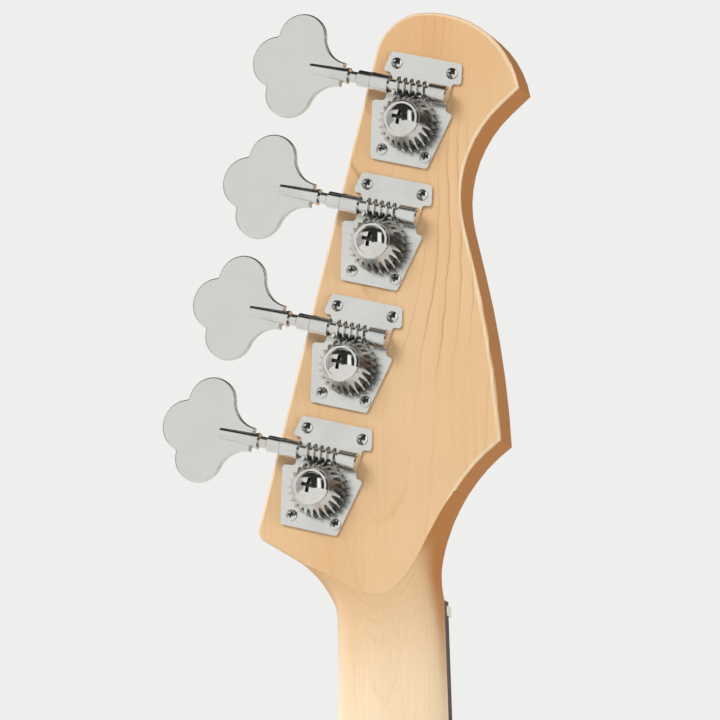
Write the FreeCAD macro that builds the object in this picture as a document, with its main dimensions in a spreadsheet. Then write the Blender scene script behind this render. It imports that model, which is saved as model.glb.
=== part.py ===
"""A four-string, left-handed electric bass guitar as a parametric document, in millimetres.

Frame: +Z runs up the neck, the strings face -Y, the back faces +Y and the tuner keys stand on the +X side.
The origin is the seat of the strap button at the body's lower end, at half the body's thickness.
"""
import FreeCAD
import Part
import math
import os
import re
import Sketcher
from FreeCAD import Placement, Rotation, Vector

# Counts that the sizes below repeat over.
STRINGS = ("e", "a", "d", "g")
FRETS = 20
DOT_FRETS = (3, 5, 7, 9, 12, 15, 17, 19)
OCTAVE = 12
HEX_SIDES = 6
GEAR_TEETH = 24
POLES_PER_STRING = 2
TREE_STRINGS = ("d", "g")

# Angles, in degrees.
TUNER_LEAN = 15.2
FULL_TURN = 360.0
NUT_BREAK = 12.0

# Driving sizes, in millimetres. Each becomes one cell of the sheet, under its own alias.
SIZES = {
    # shared fits
    "cut_overrun": 2.0,
    "running_gap": 0.05,
    "screw_gap": 0.1,
    "seat_gap": 0.15,
    "string_gap": 0.3,
    # body
    "body_length": 508.0,
    "body_width": 330.0,
    "body_thick": 44.0,
    "body_round": 9.0,
    "pocket_depth": 15.9,
    "pocket_length": 84.2,
    "spot_depth": 1.2,
    "control_floor": 8.0,
    "pickup_rout": 14.0,
    # neck and headstock
    "scale_length": 864.0,
    "saddle_line": 82.0,
    "neck_rise": 9.5,
    "board_margin": 9.1,
    "heel_width": 62.0,
    "nut_width": 38.0,
    "neck_depth_nut": 15.0,
    "neck_depth_body": 17.0,
    "neck_side_flat": 0.4,
    "carve_margin": 0.1,
    "heel_blend": 42.0,
    "heel_reach": 16.0,
    "volute_radius": 62.0,
    "volute_start": 18.5,
    "volute_end": 40.0,
    "headstock_thick": 15.0,
    "headstock_width": 97.0,
    "headstock_round": 1.4,
    "tuner_edge": 19.6,
    "tuner_end": 17.2,
    "tuner_low_end": 20.2,
    "cheek_radius": 20.0,
    "corner_radius": 4.0,
    "hook_radius": 42.0,
    "ramp_radius": 20.0,
    "ramp_shelf": 1.5,
    "rod_width": 6.0,
    "rod_depth": 9.0,
    "rod_stop": 45.0,
    "rod_nut_dia": 9.0,
    "rod_nut_length": 7.0,
    "rod_key_dia": 4.0,
    "rod_key_depth": 5.0,
    # fingerboard, frets, nut and markers
    "board_thick": 5.5,
    "board_radius": 241.0,
    "fret_width": 2.4,
    "fret_height": 1.2,
    "fret_tang_width": 0.6,
    "fret_tang_depth": 1.8,
    "fret_inset": 0.4,
    "nut_thick": 3.4,
    "nut_rise": 2.6,
    "nut_bed": 2.6,
    "dot_dia": 6.4,
    "dot_depth": 1.6,
    "twin_dot_pitch": 16.0,
    "side_dot_dia": 2.0,
    "side_dot_depth": 2.4,
    # strings
    "gauge_e": 2.67,
    "gauge_a": 2.16,
    "gauge_d": 1.65,
    "gauge_g": 1.14,
    "bridge_pitch": 19.0,
    "nut_pitch": 10.2,
    "nut_action": 1.5,
    "saddle_action": 5.5,
    "string_kink": 8.5,
    "saddle_bend": 12.0,
    "nut_bend": 10.0,
    "tree_bend": 40.0,
    "wind_gap": 0.6,
    "ball_dia": 6.0,
    "ball_length": 5.0,
    # string tree
    "tree_height_on_neck": 52.0,
    "tree_offset": 12.2,
    "tree_dia": 16.0,
    "tree_thick": 4.0,
    "tree_stand": 6.2,
    "tree_slope": 1.6,
    "tree_stem_dia": 5.0,
    "tree_screw_dia": 2.6,
    "tree_screw_head": 5.2,
    "tree_screw_depth": 9.0,
    # tuners
    "first_post_side": 19.2,
    "first_post_rise": 42.6,
    "tuner_pitch": 44.2,
    "plate_thick": 1.2,
    "plate_top_half": 13.2,
    "plate_top_rise": 24.7,
    "plate_shoulder_half": 14.8,
    "plate_shoulder_rise": 17.2,
    "plate_waist_half": 11.4,
    "plate_waist_low": 7.0,
    "plate_hip_half": 15.2,
    "plate_hip_rise": 6.4,
    "plate_foot_half": 10.6,
    "plate_foot_drop": 14.2,
    "plate_foot_shift": 0.9,
    "plate_round": 1.2,
    "plate_screw_top_half": 10.4,
    "plate_screw_top_rise": 20.7,
    "plate_screw_foot_half": 8.2,
    "plate_screw_foot_drop": 10.3,
    "plate_screw_dia": 2.6,
    "plate_screw_head": 4.0,
    "plate_screw_rise": 1.1,
    "plate_screw_length": 13.0,
    "recess_width": 0.7,
    "recess_depth": 0.9,
    "gear_thick": 10.0,
    "gear_lift": 0.8,
    "gear_wall": 5.4,
    "gear_top_dia": 13.2,
    "gear_addendum": 0.65,
    "mesh_tip_gap": 0.2,
    "mesh_root_gap": 0.8,
    "mesh_side_gap": 0.35,
    "worm_pitch": 2.4,
    "worm_dia": 6.8,
    "worm_core_dia": 3.96,
    "thread_tip_width": 0.55,
    "thread_root_width": 1.5,
    "journal_dia": 4.6,
    "bearing_dia": 6.4,
    "worm_shift": 1.6,
    "bearing_start": 7.6,
    "bearing_end": 14.0,
    "end_play": 0.3,
    "collar_dia": 5.8,
    "collar_length": 4.8,
    "neck_turn_dia": 4.0,
    "neck_turn_length": 3.6,
    "flange_dia": 5.8,
    "flange_length": 0.8,
    "stem_dia": 5.4,
    "stem_tip_dia": 4.3,
    "stem_length": 14.0,
    "stem_solid": 1.4,
    "key_thick": 2.4,
    "key_length": 34.2,
    "key_lobe_dia": 17.7,
    "key_lobe_side": 10.0,
    "key_lobe_back": 16.2,
    "key_end_dia": 18.8,
    "key_neck_width": 8.6,
    "key_notch_round": 1.0,
    "key_round": 0.7,
    "post_dia": 12.7,
    "post_reach": 21.0,
    "post_head_length": 4.5,
    "post_waist_dia": 9.4,
    "post_waist_length": 12.0,
    "post_flare": 2.0,
    "post_slot_width": 3.0,
    "post_slot_depth": 7.5,
    "post_bore_dia": 3.2,
    "post_bore_depth": 13.0,
    "post_hole_gap": 0.4,
    "spigot_dia": 6.0,
    "gear_screw_rim_dia": 12.8,
    "gear_screw_rim": 1.3,
    "gear_screw_dome_dia": 10.4,
    "gear_screw_dome": 2.5,
    "gear_screw_dia": 3.0,
    "gear_screw_length": 8.0,
    "gear_recess_width": 1.3,
    "gear_recess_depth": 1.9,
    "ferrule_dia": 17.0,
    "ferrule_depth": 8.0,
    "ferrule_flange_dia": 20.0,
    "ferrule_flange": 1.3,
    # neck plate
    "neck_plate_width": 64.0,
    "neck_plate_height": 51.0,
    "neck_plate_thick": 2.0,
    "neck_plate_round": 6.0,
    "neck_screw_side": 51.0,
    "neck_screw_rise": 38.0,
    "neck_screw_dia": 4.6,
    "neck_screw_head": 8.6,
    "neck_screw_head_rise": 2.6,
    "neck_screw_length": 44.0,
    "neck_recess_width": 1.1,
    "neck_recess_depth": 1.6,
    # pickguard and its screws
    "guard_thick": 2.4,
    "guard_gap": 0.5,
    "guard_screw_dia": 2.8,
    "guard_screw_head": 5.4,
    "guard_screw_rise": 1.3,
    "guard_screw_length": 12.0,
    # pickups
    "pickup_step": 33.0,
    "cover_width": 56.0,
    "cover_height": 28.0,
    "cover_round": 5.0,
    "cover_wall": 1.5,
    "cover_top_gap": 3.6,
    "ear_length": 9.0,
    "ear_height": 14.0,
    "ear_thick": 2.2,
    "ear_lift": 0.4,
    "pole_dia": 4.8,
    "pole_pitch": 9.5,
    "pole_proud": 0.5,
    "coil_height": 12.0,
    "coil_inset": 0.4,
    "coil_lift": 0.3,
    "pickup_screw_dia": 2.6,
    "pickup_screw_head": 5.0,
    "pickup_screw_rise": 1.2,
    "pickup_screw_grip": 9.0,
    # controls
    "control_room": 15.0,
    "knob_dia": 19.0,
    "knob_height": 15.0,
    "knob_lift": 0.6,
    "knob_edge": 1.2,
    "knob_hollow_dia": 15.6,
    "knob_hollow": 5.0,
    "pot_shaft_dia": 6.0,
    "pot_shaft_grip": 7.0,
    "pot_can_dia": 24.0,
    "pot_can_height": 10.0,
    "pot_collar_dia": 9.4,
    "pot_collar_rise": 3.4,
    "panel_nut_dia": 13.6,
    "panel_nut_thick": 2.2,
    "jack_bore_dia": 6.6,
    "jack_collar_rise": 3.4,
    "jack_flange_dia": 15.0,
    "jack_flange": 1.6,
    "jack_cup_dia": 12.0,
    "jack_cup_bore": 9.0,
    "jack_cup_depth": 20.0,
    "jack_cup_floor": 1.5,
    # bridge
    "bridge_width": 82.0,
    "bridge_length": 52.0,
    "bridge_thick": 2.0,
    "bridge_lead": 14.0,
    "flange_height": 14.6,
    "bridge_screw_dia": 3.6,
    "bridge_screw_head": 6.6,
    "bridge_screw_rise": 1.6,
    "bridge_screw_length": 24.0,
    "bridge_screw_row": 7.0,
    "saddle_dia": 8.0,
    "saddle_width": 18.0,
    "saddle_groove": 0.9,
    "groove_flare": 1.2,
    "screw_offset": 4.3,
    "height_screw_dia": 2.4,
    "height_screw_side": 7.4,
    "height_screw_inset": 1.0,
    "height_screw_foot": 0.1,
    "intonation_dia": 3.0,
    "intonation_head": 6.0,
    "intonation_head_thick": 3.0,
    "intonation_tail": 10.0,
    "intonation_drop": 0.6,
    "spring_wire": 0.6,
    "spring_gap": 0.25,
    "spring_pitch": 3.2,
    "string_hole_gap": 0.4,
    "string_exit": 4.0,
    "exit_lead": 3.0,
    "exit_bend": 6.0,
    # strap buttons
    "button_base_dia": 13.0,
    "button_base": 2.2,
    "button_waist_dia": 7.0,
    "button_waist": 7.5,
    "button_head_dia": 13.6,
    "button_head": 3.0,
    "button_screw_dia": 3.6,
    "button_screw_head": 7.0,
    "button_screw_rise": 1.6,
    "button_screw_length": 34.0,
}

# Outlines, as shares of the sizes that they follow: (side, rise).
# Body: side is a share of the body's width, rise of its length. The list starts at the lower end.
BODY_SHARES = (
    (0.0, 0.0), (0.19, 0.008), (0.36, 0.06), (0.465, 0.16), (0.485, 0.275), (0.44, 0.40),
    (0.385, 0.50), (0.375, 0.60), (0.405, 0.71), (0.435, 0.82), (0.438, 0.90), (0.411, 0.967),
    (0.345, 1.0), (0.281, 0.962), (0.234, 0.885), (0.165, 0.843), (0.085, 0.843), (0.0, 0.845),
    (-0.085, 0.835), (-0.14, 0.802), (-0.20, 0.807), (-0.25, 0.85), (-0.288, 0.902), (-0.35, 0.93),
    (-0.412, 0.9), (-0.438, 0.83), (-0.43, 0.745), (-0.395, 0.64), (-0.372, 0.54), (-0.385, 0.44),
    (-0.445, 0.33), (-0.49, 0.22), (-0.475, 0.115), (-0.37, 0.04), (-0.19, 0.004),
)
POCKET_MOUTH_SHARE = 0.845
HORN_SHARE = (0.345, 1.0)
# Pickguard: the curved edge from the bass side of the neck round to its treble side.
GUARD_SHARES = (
    (0.16, 0.80), (0.225, 0.815), (0.285, 0.80), (0.315, 0.745), (0.30, 0.665), (0.262, 0.585),
    (0.222, 0.53), (0.20, 0.475), (0.165, 0.405), (0.09, 0.365), (-0.02, 0.352), (-0.115, 0.325),
    (-0.165, 0.27), (-0.20, 0.195), (-0.25, 0.125), (-0.32, 0.11), (-0.372, 0.155), (-0.375, 0.23),
    (-0.335, 0.32), (-0.305, 0.40), (-0.295, 0.48), (-0.31, 0.57), (-0.345, 0.65), (-0.352, 0.72),
    (-0.315, 0.765), (-0.25, 0.76), (-0.17, 0.745),
)
GUARD_SCREW_SHARES = (
    (0.165, 0.775), (0.288, 0.745), (0.262, 0.63), (0.17, 0.43), (-0.045, 0.372), (-0.192, 0.255),
    (-0.335, 0.137), (-0.345, 0.245), (-0.275, 0.44), (-0.325, 0.70), (-0.17, 0.725),
)
# Controls on the guard: volume, tone and the jack.
VOLUME_SHARE = (-0.222, 0.345)
TONE_SHARE = (-0.262, 0.263)
JACK_SHARE = (-0.302, 0.185)
# The bass half of the pickup, as a share of the body's length.
PICKUP_SHARE = 0.496
# Headstock: side is a share of its width, rise of the height of the tuner edge's upper end above the nut.
# The treble side runs from the throat to two points, then over the crown to the tuner edge.
THROAT_START_SHARE = 0.031
LOWER_POINT_SHARE = (-0.472, 0.2937)
SIDE_BEND_SHARE = (-0.389, 0.611)
HOOK_CORNER_SHARE = (-0.2934, 0.826)
UPPER_POINT_SHARE = (-0.567, 0.941)
CROWN_SHARE = (-0.202, 1.0985)
# Bass side: where the neck's side would meet the cheek that runs out to the tuner edge.
CHEEK_SHARE = 0.066
# Neck back: share of the blend and exponent of the rounded section, from the heel block to the shaft.
HEEL_BLEND_SHARES = (0.0, 0.3, 0.65, 1.0)
HEEL_SQUARE = 9.0
NECK_ROUND = 1.9
# Volute: share of its run, and how much wider than the wood its bass side is carved, to keep the wing full.
VOLUTE_ROUND = 2.6
VOLUTE_SHARES = (0.0, 0.1, 0.2, 0.3, 0.4, 0.5, 0.6, 0.7, 0.775, 0.85, 0.925, 1.0)
WING_SHARES = (1.0, 1.0, 1.0, 1.0, 1.03, 1.15, 1.3, 1.4, 1.45, 1.48, 1.49, 1.5)
# Windings on the posts, in turns, and the part of a turn that leads onto them.
WIND_TURNS = 2.25
LEAD_TURN_SHARE = 0.125
QUARTERS_PER_TURN = 4
GAP_POINTS_PER_TURN = 48
SECTION_POINTS = 13
TUBE_TOLERANCE_SHARE = 0.01
SIDE_DOT_SHARE = 0.4
# Turned profiles: shares of the size that they follow.
DOME_EDGE_SHARE = 0.3
RIM_WALL_SHARE = 0.65
RECESS_SHARE = 0.5
NECK_TURN_SHARES = (0.17, 0.8)
TREE_EDGE_SHARE = 0.6
BUTTON_WAIST_SHARE = 0.6
BEVEL_SHARES = (0.35, 0.7)

FRONT = Vector(0, -1, 0)
BACK = Vector(0, 1, 0)
UP = Vector(0, 0, 1)
DOWN = Vector(0, 0, -1)
BASS = Vector(1, 0, 0)
ORIGIN = Vector(0, 0, 0)
SQUARE = ((1, 1), (-1, 1), (-1, -1), (1, -1))

# Heights that several profiles share, as formulas.
BUTTON_TOP = "button_base + button_waist + button_head"
COLLAR_END = "bearing_end + end_play + collar_length"
NECK_END = f"{COLLAR_END} + neck_turn_length"
STEM_START = f"{NECK_END} + flange_length"

doc = FreeCAD.newDocument("ElectricBass")
sheet = doc.addObject("Spreadsheet::Sheet", "Sizes")
for row, (alias, length) in enumerate(SIZES.items(), start=1):
    sheet.set(f"A{row}", alias)
    sheet.set(f"B{row}", str(length))
    sheet.setAlias(f"B{row}", alias)
doc.recompute()

# The sub-parts that are written, by the name of their file.
subparts = {}


def keep(name, made):
    """Name an object as a sub-part of the bass."""
    made.Label = name
    subparts[name] = made
    return made


def in_sheet(formula):
    """Turn the cell names of a formula into references that an expression understands."""
    return re.sub(r"[a-z][a-z_]*[a-z]", lambda word: "Sizes." + word.group(), formula)


def size(formula):
    """Work out a formula over the sheet's cells."""
    return float(sheet.evalExpression(formula))


def bind(made, **values):
    """Tie an object's properties to formulas over the sheet's cells, or set them to worked-out lengths."""
    for name, value in values.items():
        if isinstance(value, str):
            made.setExpression(name, in_sheet(value))
        else:
            setattr(made, name, value)
    return made


def facing(base, direction, across=None):
    """Place a piece at base with its own Z along direction and, if given, its own X along across."""
    if across is None:
        across = UP if abs(direction.dot(UP)) < abs(direction.dot(BASS)) + abs(direction.dot(BACK)) else BASS
    return Placement(base, Rotation(across, direction.cross(across), direction, "ZXY"))


def box(name, sides, corner):
    """A block of three side lengths, from its lowest corner."""
    made = doc.addObject("Part::Box", name)
    bind(made, Length=sides[0], Width=sides[1], Height=sides[2])
    made.Placement = Placement(corner, Rotation())
    return made


def rod(name, diameter, length, base, direction):
    """A round rod of a given diameter and length, from base along direction."""
    made = doc.addObject("Part::Cylinder", name)
    bind(made, Radius=f"({diameter}) / 2", Height=length)
    made.Placement = facing(base, direction)
    return made


def copies(name, master, places):
    """A group of copies of one master, each at its own place."""
    links = []
    for place in places:
        link = doc.addObject("App::Link", f"{name}_copy")
        link.LinkedObject = master
        link.LinkTransform = True
        link.Placement = place
        links.append(link)
    group = doc.addObject("Part::Compound", name)
    group.Links = links
    return group


def at_place(name, master, place):
    """One copy of a master at its own place."""
    link = doc.addObject("App::Link", name)
    link.LinkedObject = master
    link.LinkTransform = True
    link.Placement = place
    return link


def fused(name, pieces):
    """Several solids joined into one."""
    made = doc.addObject("Part::MultiFuse", name)
    made.Shapes = pieces
    made.Refine = True
    return made


def cut(name, base, tools):
    """A solid with one or more tools taken out of it."""
    made = doc.addObject("Part::Cut", name)
    made.Base = base
    if len(tools) == 1:
        made.Tool = tools[0]
    else:
        made.Tool = doc.addObject("Part::Compound", f"{name}_tools")
        made.Tool.Links = tools
    return made


def common(name, base, tool):
    """The space that two solids share."""
    made = doc.addObject("Part::Common", name)
    made.Base = base
    made.Tool = tool
    return made


def plane_of(body, role):
    """One of a body's own origin planes or axes."""
    return next(part for part in body.Origin.OriginFeatures if part.Role == role)


def sketch_on(body, role, name):
    """An empty sketch on one of the body's origin planes."""
    sketch = body.newObject("Sketcher::SketchObject", name)
    sketch.AttachmentSupport = [(plane_of(body, role), "")]
    sketch.MapMode = "FlatFace"
    return sketch


def dome_arc(start, crown):
    """An arc about the upright axis, from a spot beside the axis up to the crown on it."""
    rise = crown.y - start.y
    radius = (start.x ** 2 + rise ** 2) / (2 * rise)
    centre = crown - Vector(0, radius, 0)
    return Part.Arc(start, centre + ((start + crown) / 2 - centre).normalize() * radius, crown)


def draw_corners(sketch, corners, domed=None):
    """Draw a closed outline whose corners are pairs of formulas, tied to the sheet.

    Its sides are straight, apart from the one after the corner numbered domed, which is a dome's arc.
    """
    spots = [Vector(size(across), size(along), 0) for across, along in corners]
    first = sketch.GeometryCount
    for index, (start, end) in enumerate(zip(spots, spots[1:] + spots[:1])):
        sketch.addGeometry(dome_arc(start, end) if index == domed else Part.LineSegment(start, end), False)
    if domed is not None:
        sketch.addConstraint(Sketcher.Constraint("PointOnObject", first + domed, 3, -2))
    for index, (across, along) in enumerate(corners):
        line = first + index
        after = first + (index + 1) % len(corners)
        sketch.addConstraint(Sketcher.Constraint("Coincident", line, 2, after, 1))
        for kind, formula in (("DistanceX", across), ("DistanceY", along)):
            number = sketch.addConstraint(Sketcher.Constraint(kind, -1, 1, line, 1, size(formula)))
            sketch.setExpression(f"Constraints[{number}]", in_sheet(formula))


def draw_circle(sketch, centre, diameter):
    """Draw a circle whose diameter is a formula, tied to the sheet."""
    number = sketch.addGeometry(Part.Circle(centre, UP, size(diameter) / 2), False)
    rule = sketch.addConstraint(Sketcher.Constraint("Diameter", number, size(diameter)))
    sketch.setExpression(f"Constraints[{rule}]", in_sheet(diameter))


def draw(sketch, curves):
    """Draw free curves, such as arcs and splines, that are worked out from the sheet."""
    for curve in curves:
        sketch.addGeometry(curve, False)


def closed(spots):
    """Straight lines round a list of spots."""
    return [Part.LineSegment(start, end) for start, end in zip(spots, spots[1:] + spots[:1])]


def turned(name, profile, place=Placement(), domed=None):
    """A turned piece: its half profile, as (radius, height) formulas, spun about its own Z axis."""
    body = doc.addObject("PartDesign::Body", name)
    sketch = sketch_on(body, "XZ_Plane", f"{name}_profile")
    draw_corners(sketch, profile, domed)
    spun = body.newObject("PartDesign::Revolution", f"{name}_turned")
    spun.Profile = sketch
    spun.ReferenceAxis = (sketch, ["V_Axis"])
    spun.Angle = FULL_TURN
    body.Placement = place
    return body


def padded(name, role, thickness, place=Placement()):
    """A body with an empty sketch and the pad that will raise it by thickness."""
    body = doc.addObject("PartDesign::Body", name)
    sketch = sketch_on(body, role, f"{name}_outline")
    pad = body.newObject("PartDesign::Pad", f"{name}_pad")
    pad.Profile = sketch
    bind(pad, Length=thickness)
    body.Placement = place
    return body, sketch


def rounded(body, name, radius, chosen):
    """Round the edges of a body's last feature that chosen picks."""
    doc.recompute()
    base = body.Tip
    edges = [f"Edge{index}" for index, edge in enumerate(base.Shape.Edges, start=1) if chosen(edge)]
    fillet = body.newObject("PartDesign::Fillet", name)
    fillet.Base = (base, edges)
    bind(fillet, Radius=radius)
    return fillet


def screw(name, head, rise, dia, length, recess_width, recess_depth, rim=()):
    """A wood screw with a domed cross-recessed head: head seat at height 0, shank downwards.

    A rim lists the corners from the seat to the dome's foot; without one, the head has a short wall.
    """
    shank = (("0", f"-({length})"), (f"({dia}) / 4", f"-({length})"),
             (f"({dia}) / 2", f"-({length}) + ({dia})"), (f"({dia}) / 2", "0"))
    wall = rim or ((f"({head}) / 2", "0"), (f"({head}) / 2", f"({rise}) * {DOME_EDGE_SHARE}"))
    body = turned(name, (*shank, *wall, ("0", rise)), domed=len(shank) + len(wall) - 1)
    recess_length = f"({head}) * {RECESS_SHARE}"
    for number, (wide, tall) in enumerate(((recess_width, recess_length), (recess_length, recess_width))):
        sketch = sketch_on(body, "XY_Plane", f"{name}_slot_{number}")
        draw_corners(sketch, ((f"-({wide}) / 2", f"-({tall}) / 2"), (f"({wide}) / 2", f"-({tall}) / 2"),
                              (f"({wide}) / 2", f"({tall}) / 2"), (f"-({wide}) / 2", f"({tall}) / 2")))
        bind(sketch, **{"AttachmentOffset.Base.z": f"({rise}) + cut_overrun"})
        slot = body.newObject("PartDesign::Pocket", f"{name}_recess_{number}")
        slot.Profile = sketch
        bind(slot, Length=f"({recess_depth}) + cut_overrun")
    return body


def checked_volume(name, shape, expected):
    """Stop if a solid's volume is far from the one that its section and length give."""
    if abs(shape.Volume / expected - 1.0) > TUBE_TOLERANCE_SHARE:
        raise ValueError(f"{name}: volume {shape.Volume:.2f}, expected {expected:.2f}")


def arc_between(start, apex, end):
    """An arc that touches both legs of an equal-sided corner at their ends."""
    middle = (start + end) / 2
    rise = apex - middle
    half = (end - start).Length / 2
    radius = half * (apex - start).Length / rise.Length
    sag = radius - math.sqrt(radius ** 2 - half ** 2)
    return Part.Arc(start, middle + rise.normalize() * sag, end)


def biarc(start, heading, end, arriving):
    """Two arcs that leave start along heading and reach end along arriving."""
    span = end - start
    both = heading + arriving
    bend = 2 * (1 - heading.dot(arriving))
    leg = (math.sqrt(span.dot(both) ** 2 + bend * span.dot(span)) - span.dot(both)) / bend
    joint = (start + end + (heading - arriving) * leg) / 2
    return [arc_between(start, start + heading * leg, joint), arc_between(joint, end - arriving * leg, end)]


def rounded_corner(before, corner, after, radius):
    """An arc of a given radius that touches both sides of a corner, with its two ends."""
    to_before = (before - corner).normalize()
    to_after = (after - corner).normalize()
    reach = radius / math.tan(to_before.getAngle(to_after) / 2)
    start = corner + to_before * reach
    end = corner + to_after * reach
    return start, arc_between(start, corner, end), end


# Levels and places that several pieces share.
front_y = -size("body_thick / 2")
rear_y = size("body_thick / 2")
guard_y = front_y - sheet.guard_thick
board_top_y = front_y - sheet.neck_rise
seat_y = board_top_y + sheet.board_thick
back_y = front_y + sheet.pocket_depth
face_y = back_y - sheet.headstock_thick
nut_z = sheet.saddle_line + sheet.scale_length
mouth_z = POCKET_MOUTH_SHARE * sheet.body_length
slab_depth = "pocket_depth + neck_rise - board_thick"


def fret_z(number):
    """Height of a fret, by the equal-tempered rule; fret 0 is the nut."""
    return sheet.saddle_line + sheet.scale_length * 2 ** (-number / OCTAVE)


heel_z = mouth_z - sheet.pocket_length
board_end_z = fret_z(FRETS) - sheet.board_margin


def neck_half(z):
    """Half of the neck's width at a height between its heel and the nut."""
    share = (z - heel_z) / (nut_z - heel_z)
    return (sheet.heel_width + (sheet.nut_width - sheet.heel_width) * share) / 2


def on_body(share):
    """A spot of the body's front view from its shares, as (side, rise)."""
    return Vector(share[0] * sheet.body_width, share[1] * sheet.body_length, 0)


def from_front(spot, y):
    """Turn a spot of the front view into a place in space at depth y."""
    return Vector(spot.x, y, spot.y)


# Tuner row: unit vectors along the row, upwards, and across it, towards the keys.
lean = math.radians(TUNER_LEAN)
along_row = Vector(-math.sin(lean), 0, math.cos(lean))
to_keys = Vector(math.cos(lean), 0, math.sin(lean))
first_post = Vector(sheet.first_post_side, back_y, nut_z + sheet.first_post_rise)
posts = [first_post + along_row * (sheet.tuner_pitch * index) for index in range(len(STRINGS))]

# The mesh of worm and gear.
gear_pitch_radius = GEAR_TEETH * sheet.worm_pitch / (2 * math.pi)
gear_tip_radius = gear_pitch_radius + sheet.gear_addendum
worm_offset = gear_tip_radius + sheet.mesh_tip_gap + sheet.worm_core_dia / 2
gear_root_radius = worm_offset - sheet.worm_dia / 2 - sheet.mesh_root_gap
worm_height = sheet.plate_thick + sheet.gear_lift + sheet.gear_thick / 2
post_hole = "post_dia + 2 * post_hole_gap"


def row_place(index, offset=ORIGIN):
    """A tuner's own frame: X up the row, Y towards the keys, Z out of the headstock's back."""
    base = posts[index] + along_row * offset.x + to_keys * offset.y + BACK * offset.z
    return Placement(base, Rotation(along_row, to_keys, BACK, "ZXY"))


def worm_place(index):
    """A worm's own frame: Z along the worm towards the key, X towards the gear, Y out of the back."""
    base = posts[index] + along_row * worm_offset + to_keys * sheet.worm_shift + BACK * worm_height
    return Placement(base, Rotation(along_row * -1, BACK, to_keys, "ZXY"))


# String places, from the bass side to the treble side.
def string_side(index, pitch):
    """Side of a string from the centre line."""
    return (len(STRINGS) - 1 - 2 * index) / 2 * pitch


def string_bottom(z):
    """Depth of the strings' underside at a height between the saddles and the nut."""
    share = (z - sheet.saddle_line) / sheet.scale_length
    action = sheet.saddle_action + (sheet.nut_action - sheet.saddle_action) * share
    return board_top_y - action


def string_x(index, z):
    """Side of a string at a height between the saddles and the nut."""
    share = (z - sheet.saddle_line) / sheet.scale_length
    ends = string_side(index, sheet.bridge_pitch), string_side(index, sheet.nut_pitch)
    return ends[0] + (ends[1] - ends[0]) * share


gauges = [sheet.getPropertyByName(f"gauge_{name}") for name in STRINGS]


# Tuner plates with their two rolled bearings
def tuner_plate():
    """One plate: a flat outline notched beside the bearings, its foot set towards the keys, and its holes."""
    blank, sketch = padded("tuner_plate_blank", "XY_Plane", "plate_thick")
    half = (("plate_top_rise", "plate_top_half", "0"), ("plate_shoulder_rise", "plate_shoulder_half", "0"),
            ("plate_shoulder_rise", "plate_waist_half", "0"), ("plate_waist_low", "plate_waist_half", "0"),
            ("plate_hip_rise", "plate_hip_half", "plate_foot_shift"),
            ("-plate_foot_drop", "plate_foot_half", "plate_foot_shift"))
    key_side = tuple((rise, f"{shift} + {side}") for rise, side, shift in half)
    far_side = tuple((rise, f"{shift} - {side}") for rise, side, shift in reversed(half))
    draw_corners(sketch, key_side + far_side)
    draw_circle(sketch, ORIGIN, post_hole)
    for spot in plate_screw_spots():
        draw_circle(sketch, spot, "plate_screw_dia + 2 * screw_gap")
    rounded(blank, "tuner_plate_corners", "plate_round",
            lambda edge: edge.Curve.TypeId == "Part::GeomLine"
            and edge.BoundBox.ZLength > sheet.plate_thick / 2)
    pieces = [blank]
    bores = []
    for side, start in ((1, "bearing_start"), (-1, "-bearing_end")):
        base = Vector(worm_offset, size(f"{start} + worm_shift"), worm_height)
        length = "bearing_end - bearing_start"
        pieces.append(rod("bearing", "bearing_dia", length, base, BACK))
        foot = min(side * sheet.bearing_start + sheet.worm_shift, side * sheet.plate_waist_half)
        corner = Vector(worm_offset - sheet.journal_dia / 2, foot, 0)
        width = f"plate_waist_half - bearing_start - ({side}) * worm_shift"
        pieces.append(box("bearing_foot", ("journal_dia", width, "plate_thick + gear_lift + gear_thick / 2"),
                          corner))
        over = Vector(0, sheet.cut_overrun, 0)
        bores.append(rod("bearing_bore", "journal_dia + 2 * running_gap", f"{length} + 2 * cut_overrun",
                         base - over, BACK))
    return cut("tuner_plate", fused("tuner_plate_rolled", pieces), bores)


def plate_screw_spots():
    """Places of a plate's four screws in the tuner's own frame."""
    spots = []
    for rise, half in ((sheet.plate_screw_top_rise, sheet.plate_screw_top_half),
                       (-sheet.plate_screw_foot_drop, sheet.plate_screw_foot_half)):
        spots += [Vector(rise, side * half, 0) for side in (1, -1)]
    return spots


plate = tuner_plate()
keep("tuner_plates", copies("tuner_plates", plate, [row_place(index) for index in range(len(STRINGS))]))

plate_screw = screw("plate_screw", "plate_screw_head", "plate_screw_rise", "plate_screw_dia",
                    "plate_screw_length", "recess_width", "recess_depth")
plate_screw_places = [row_place(index, spot + Vector(0, 0, sheet.plate_thick))
                      for index in range(len(STRINGS)) for spot in plate_screw_spots()]
keep("tuner_plate_screws", copies("tuner_plate_screws", plate_screw, plate_screw_places))


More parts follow.
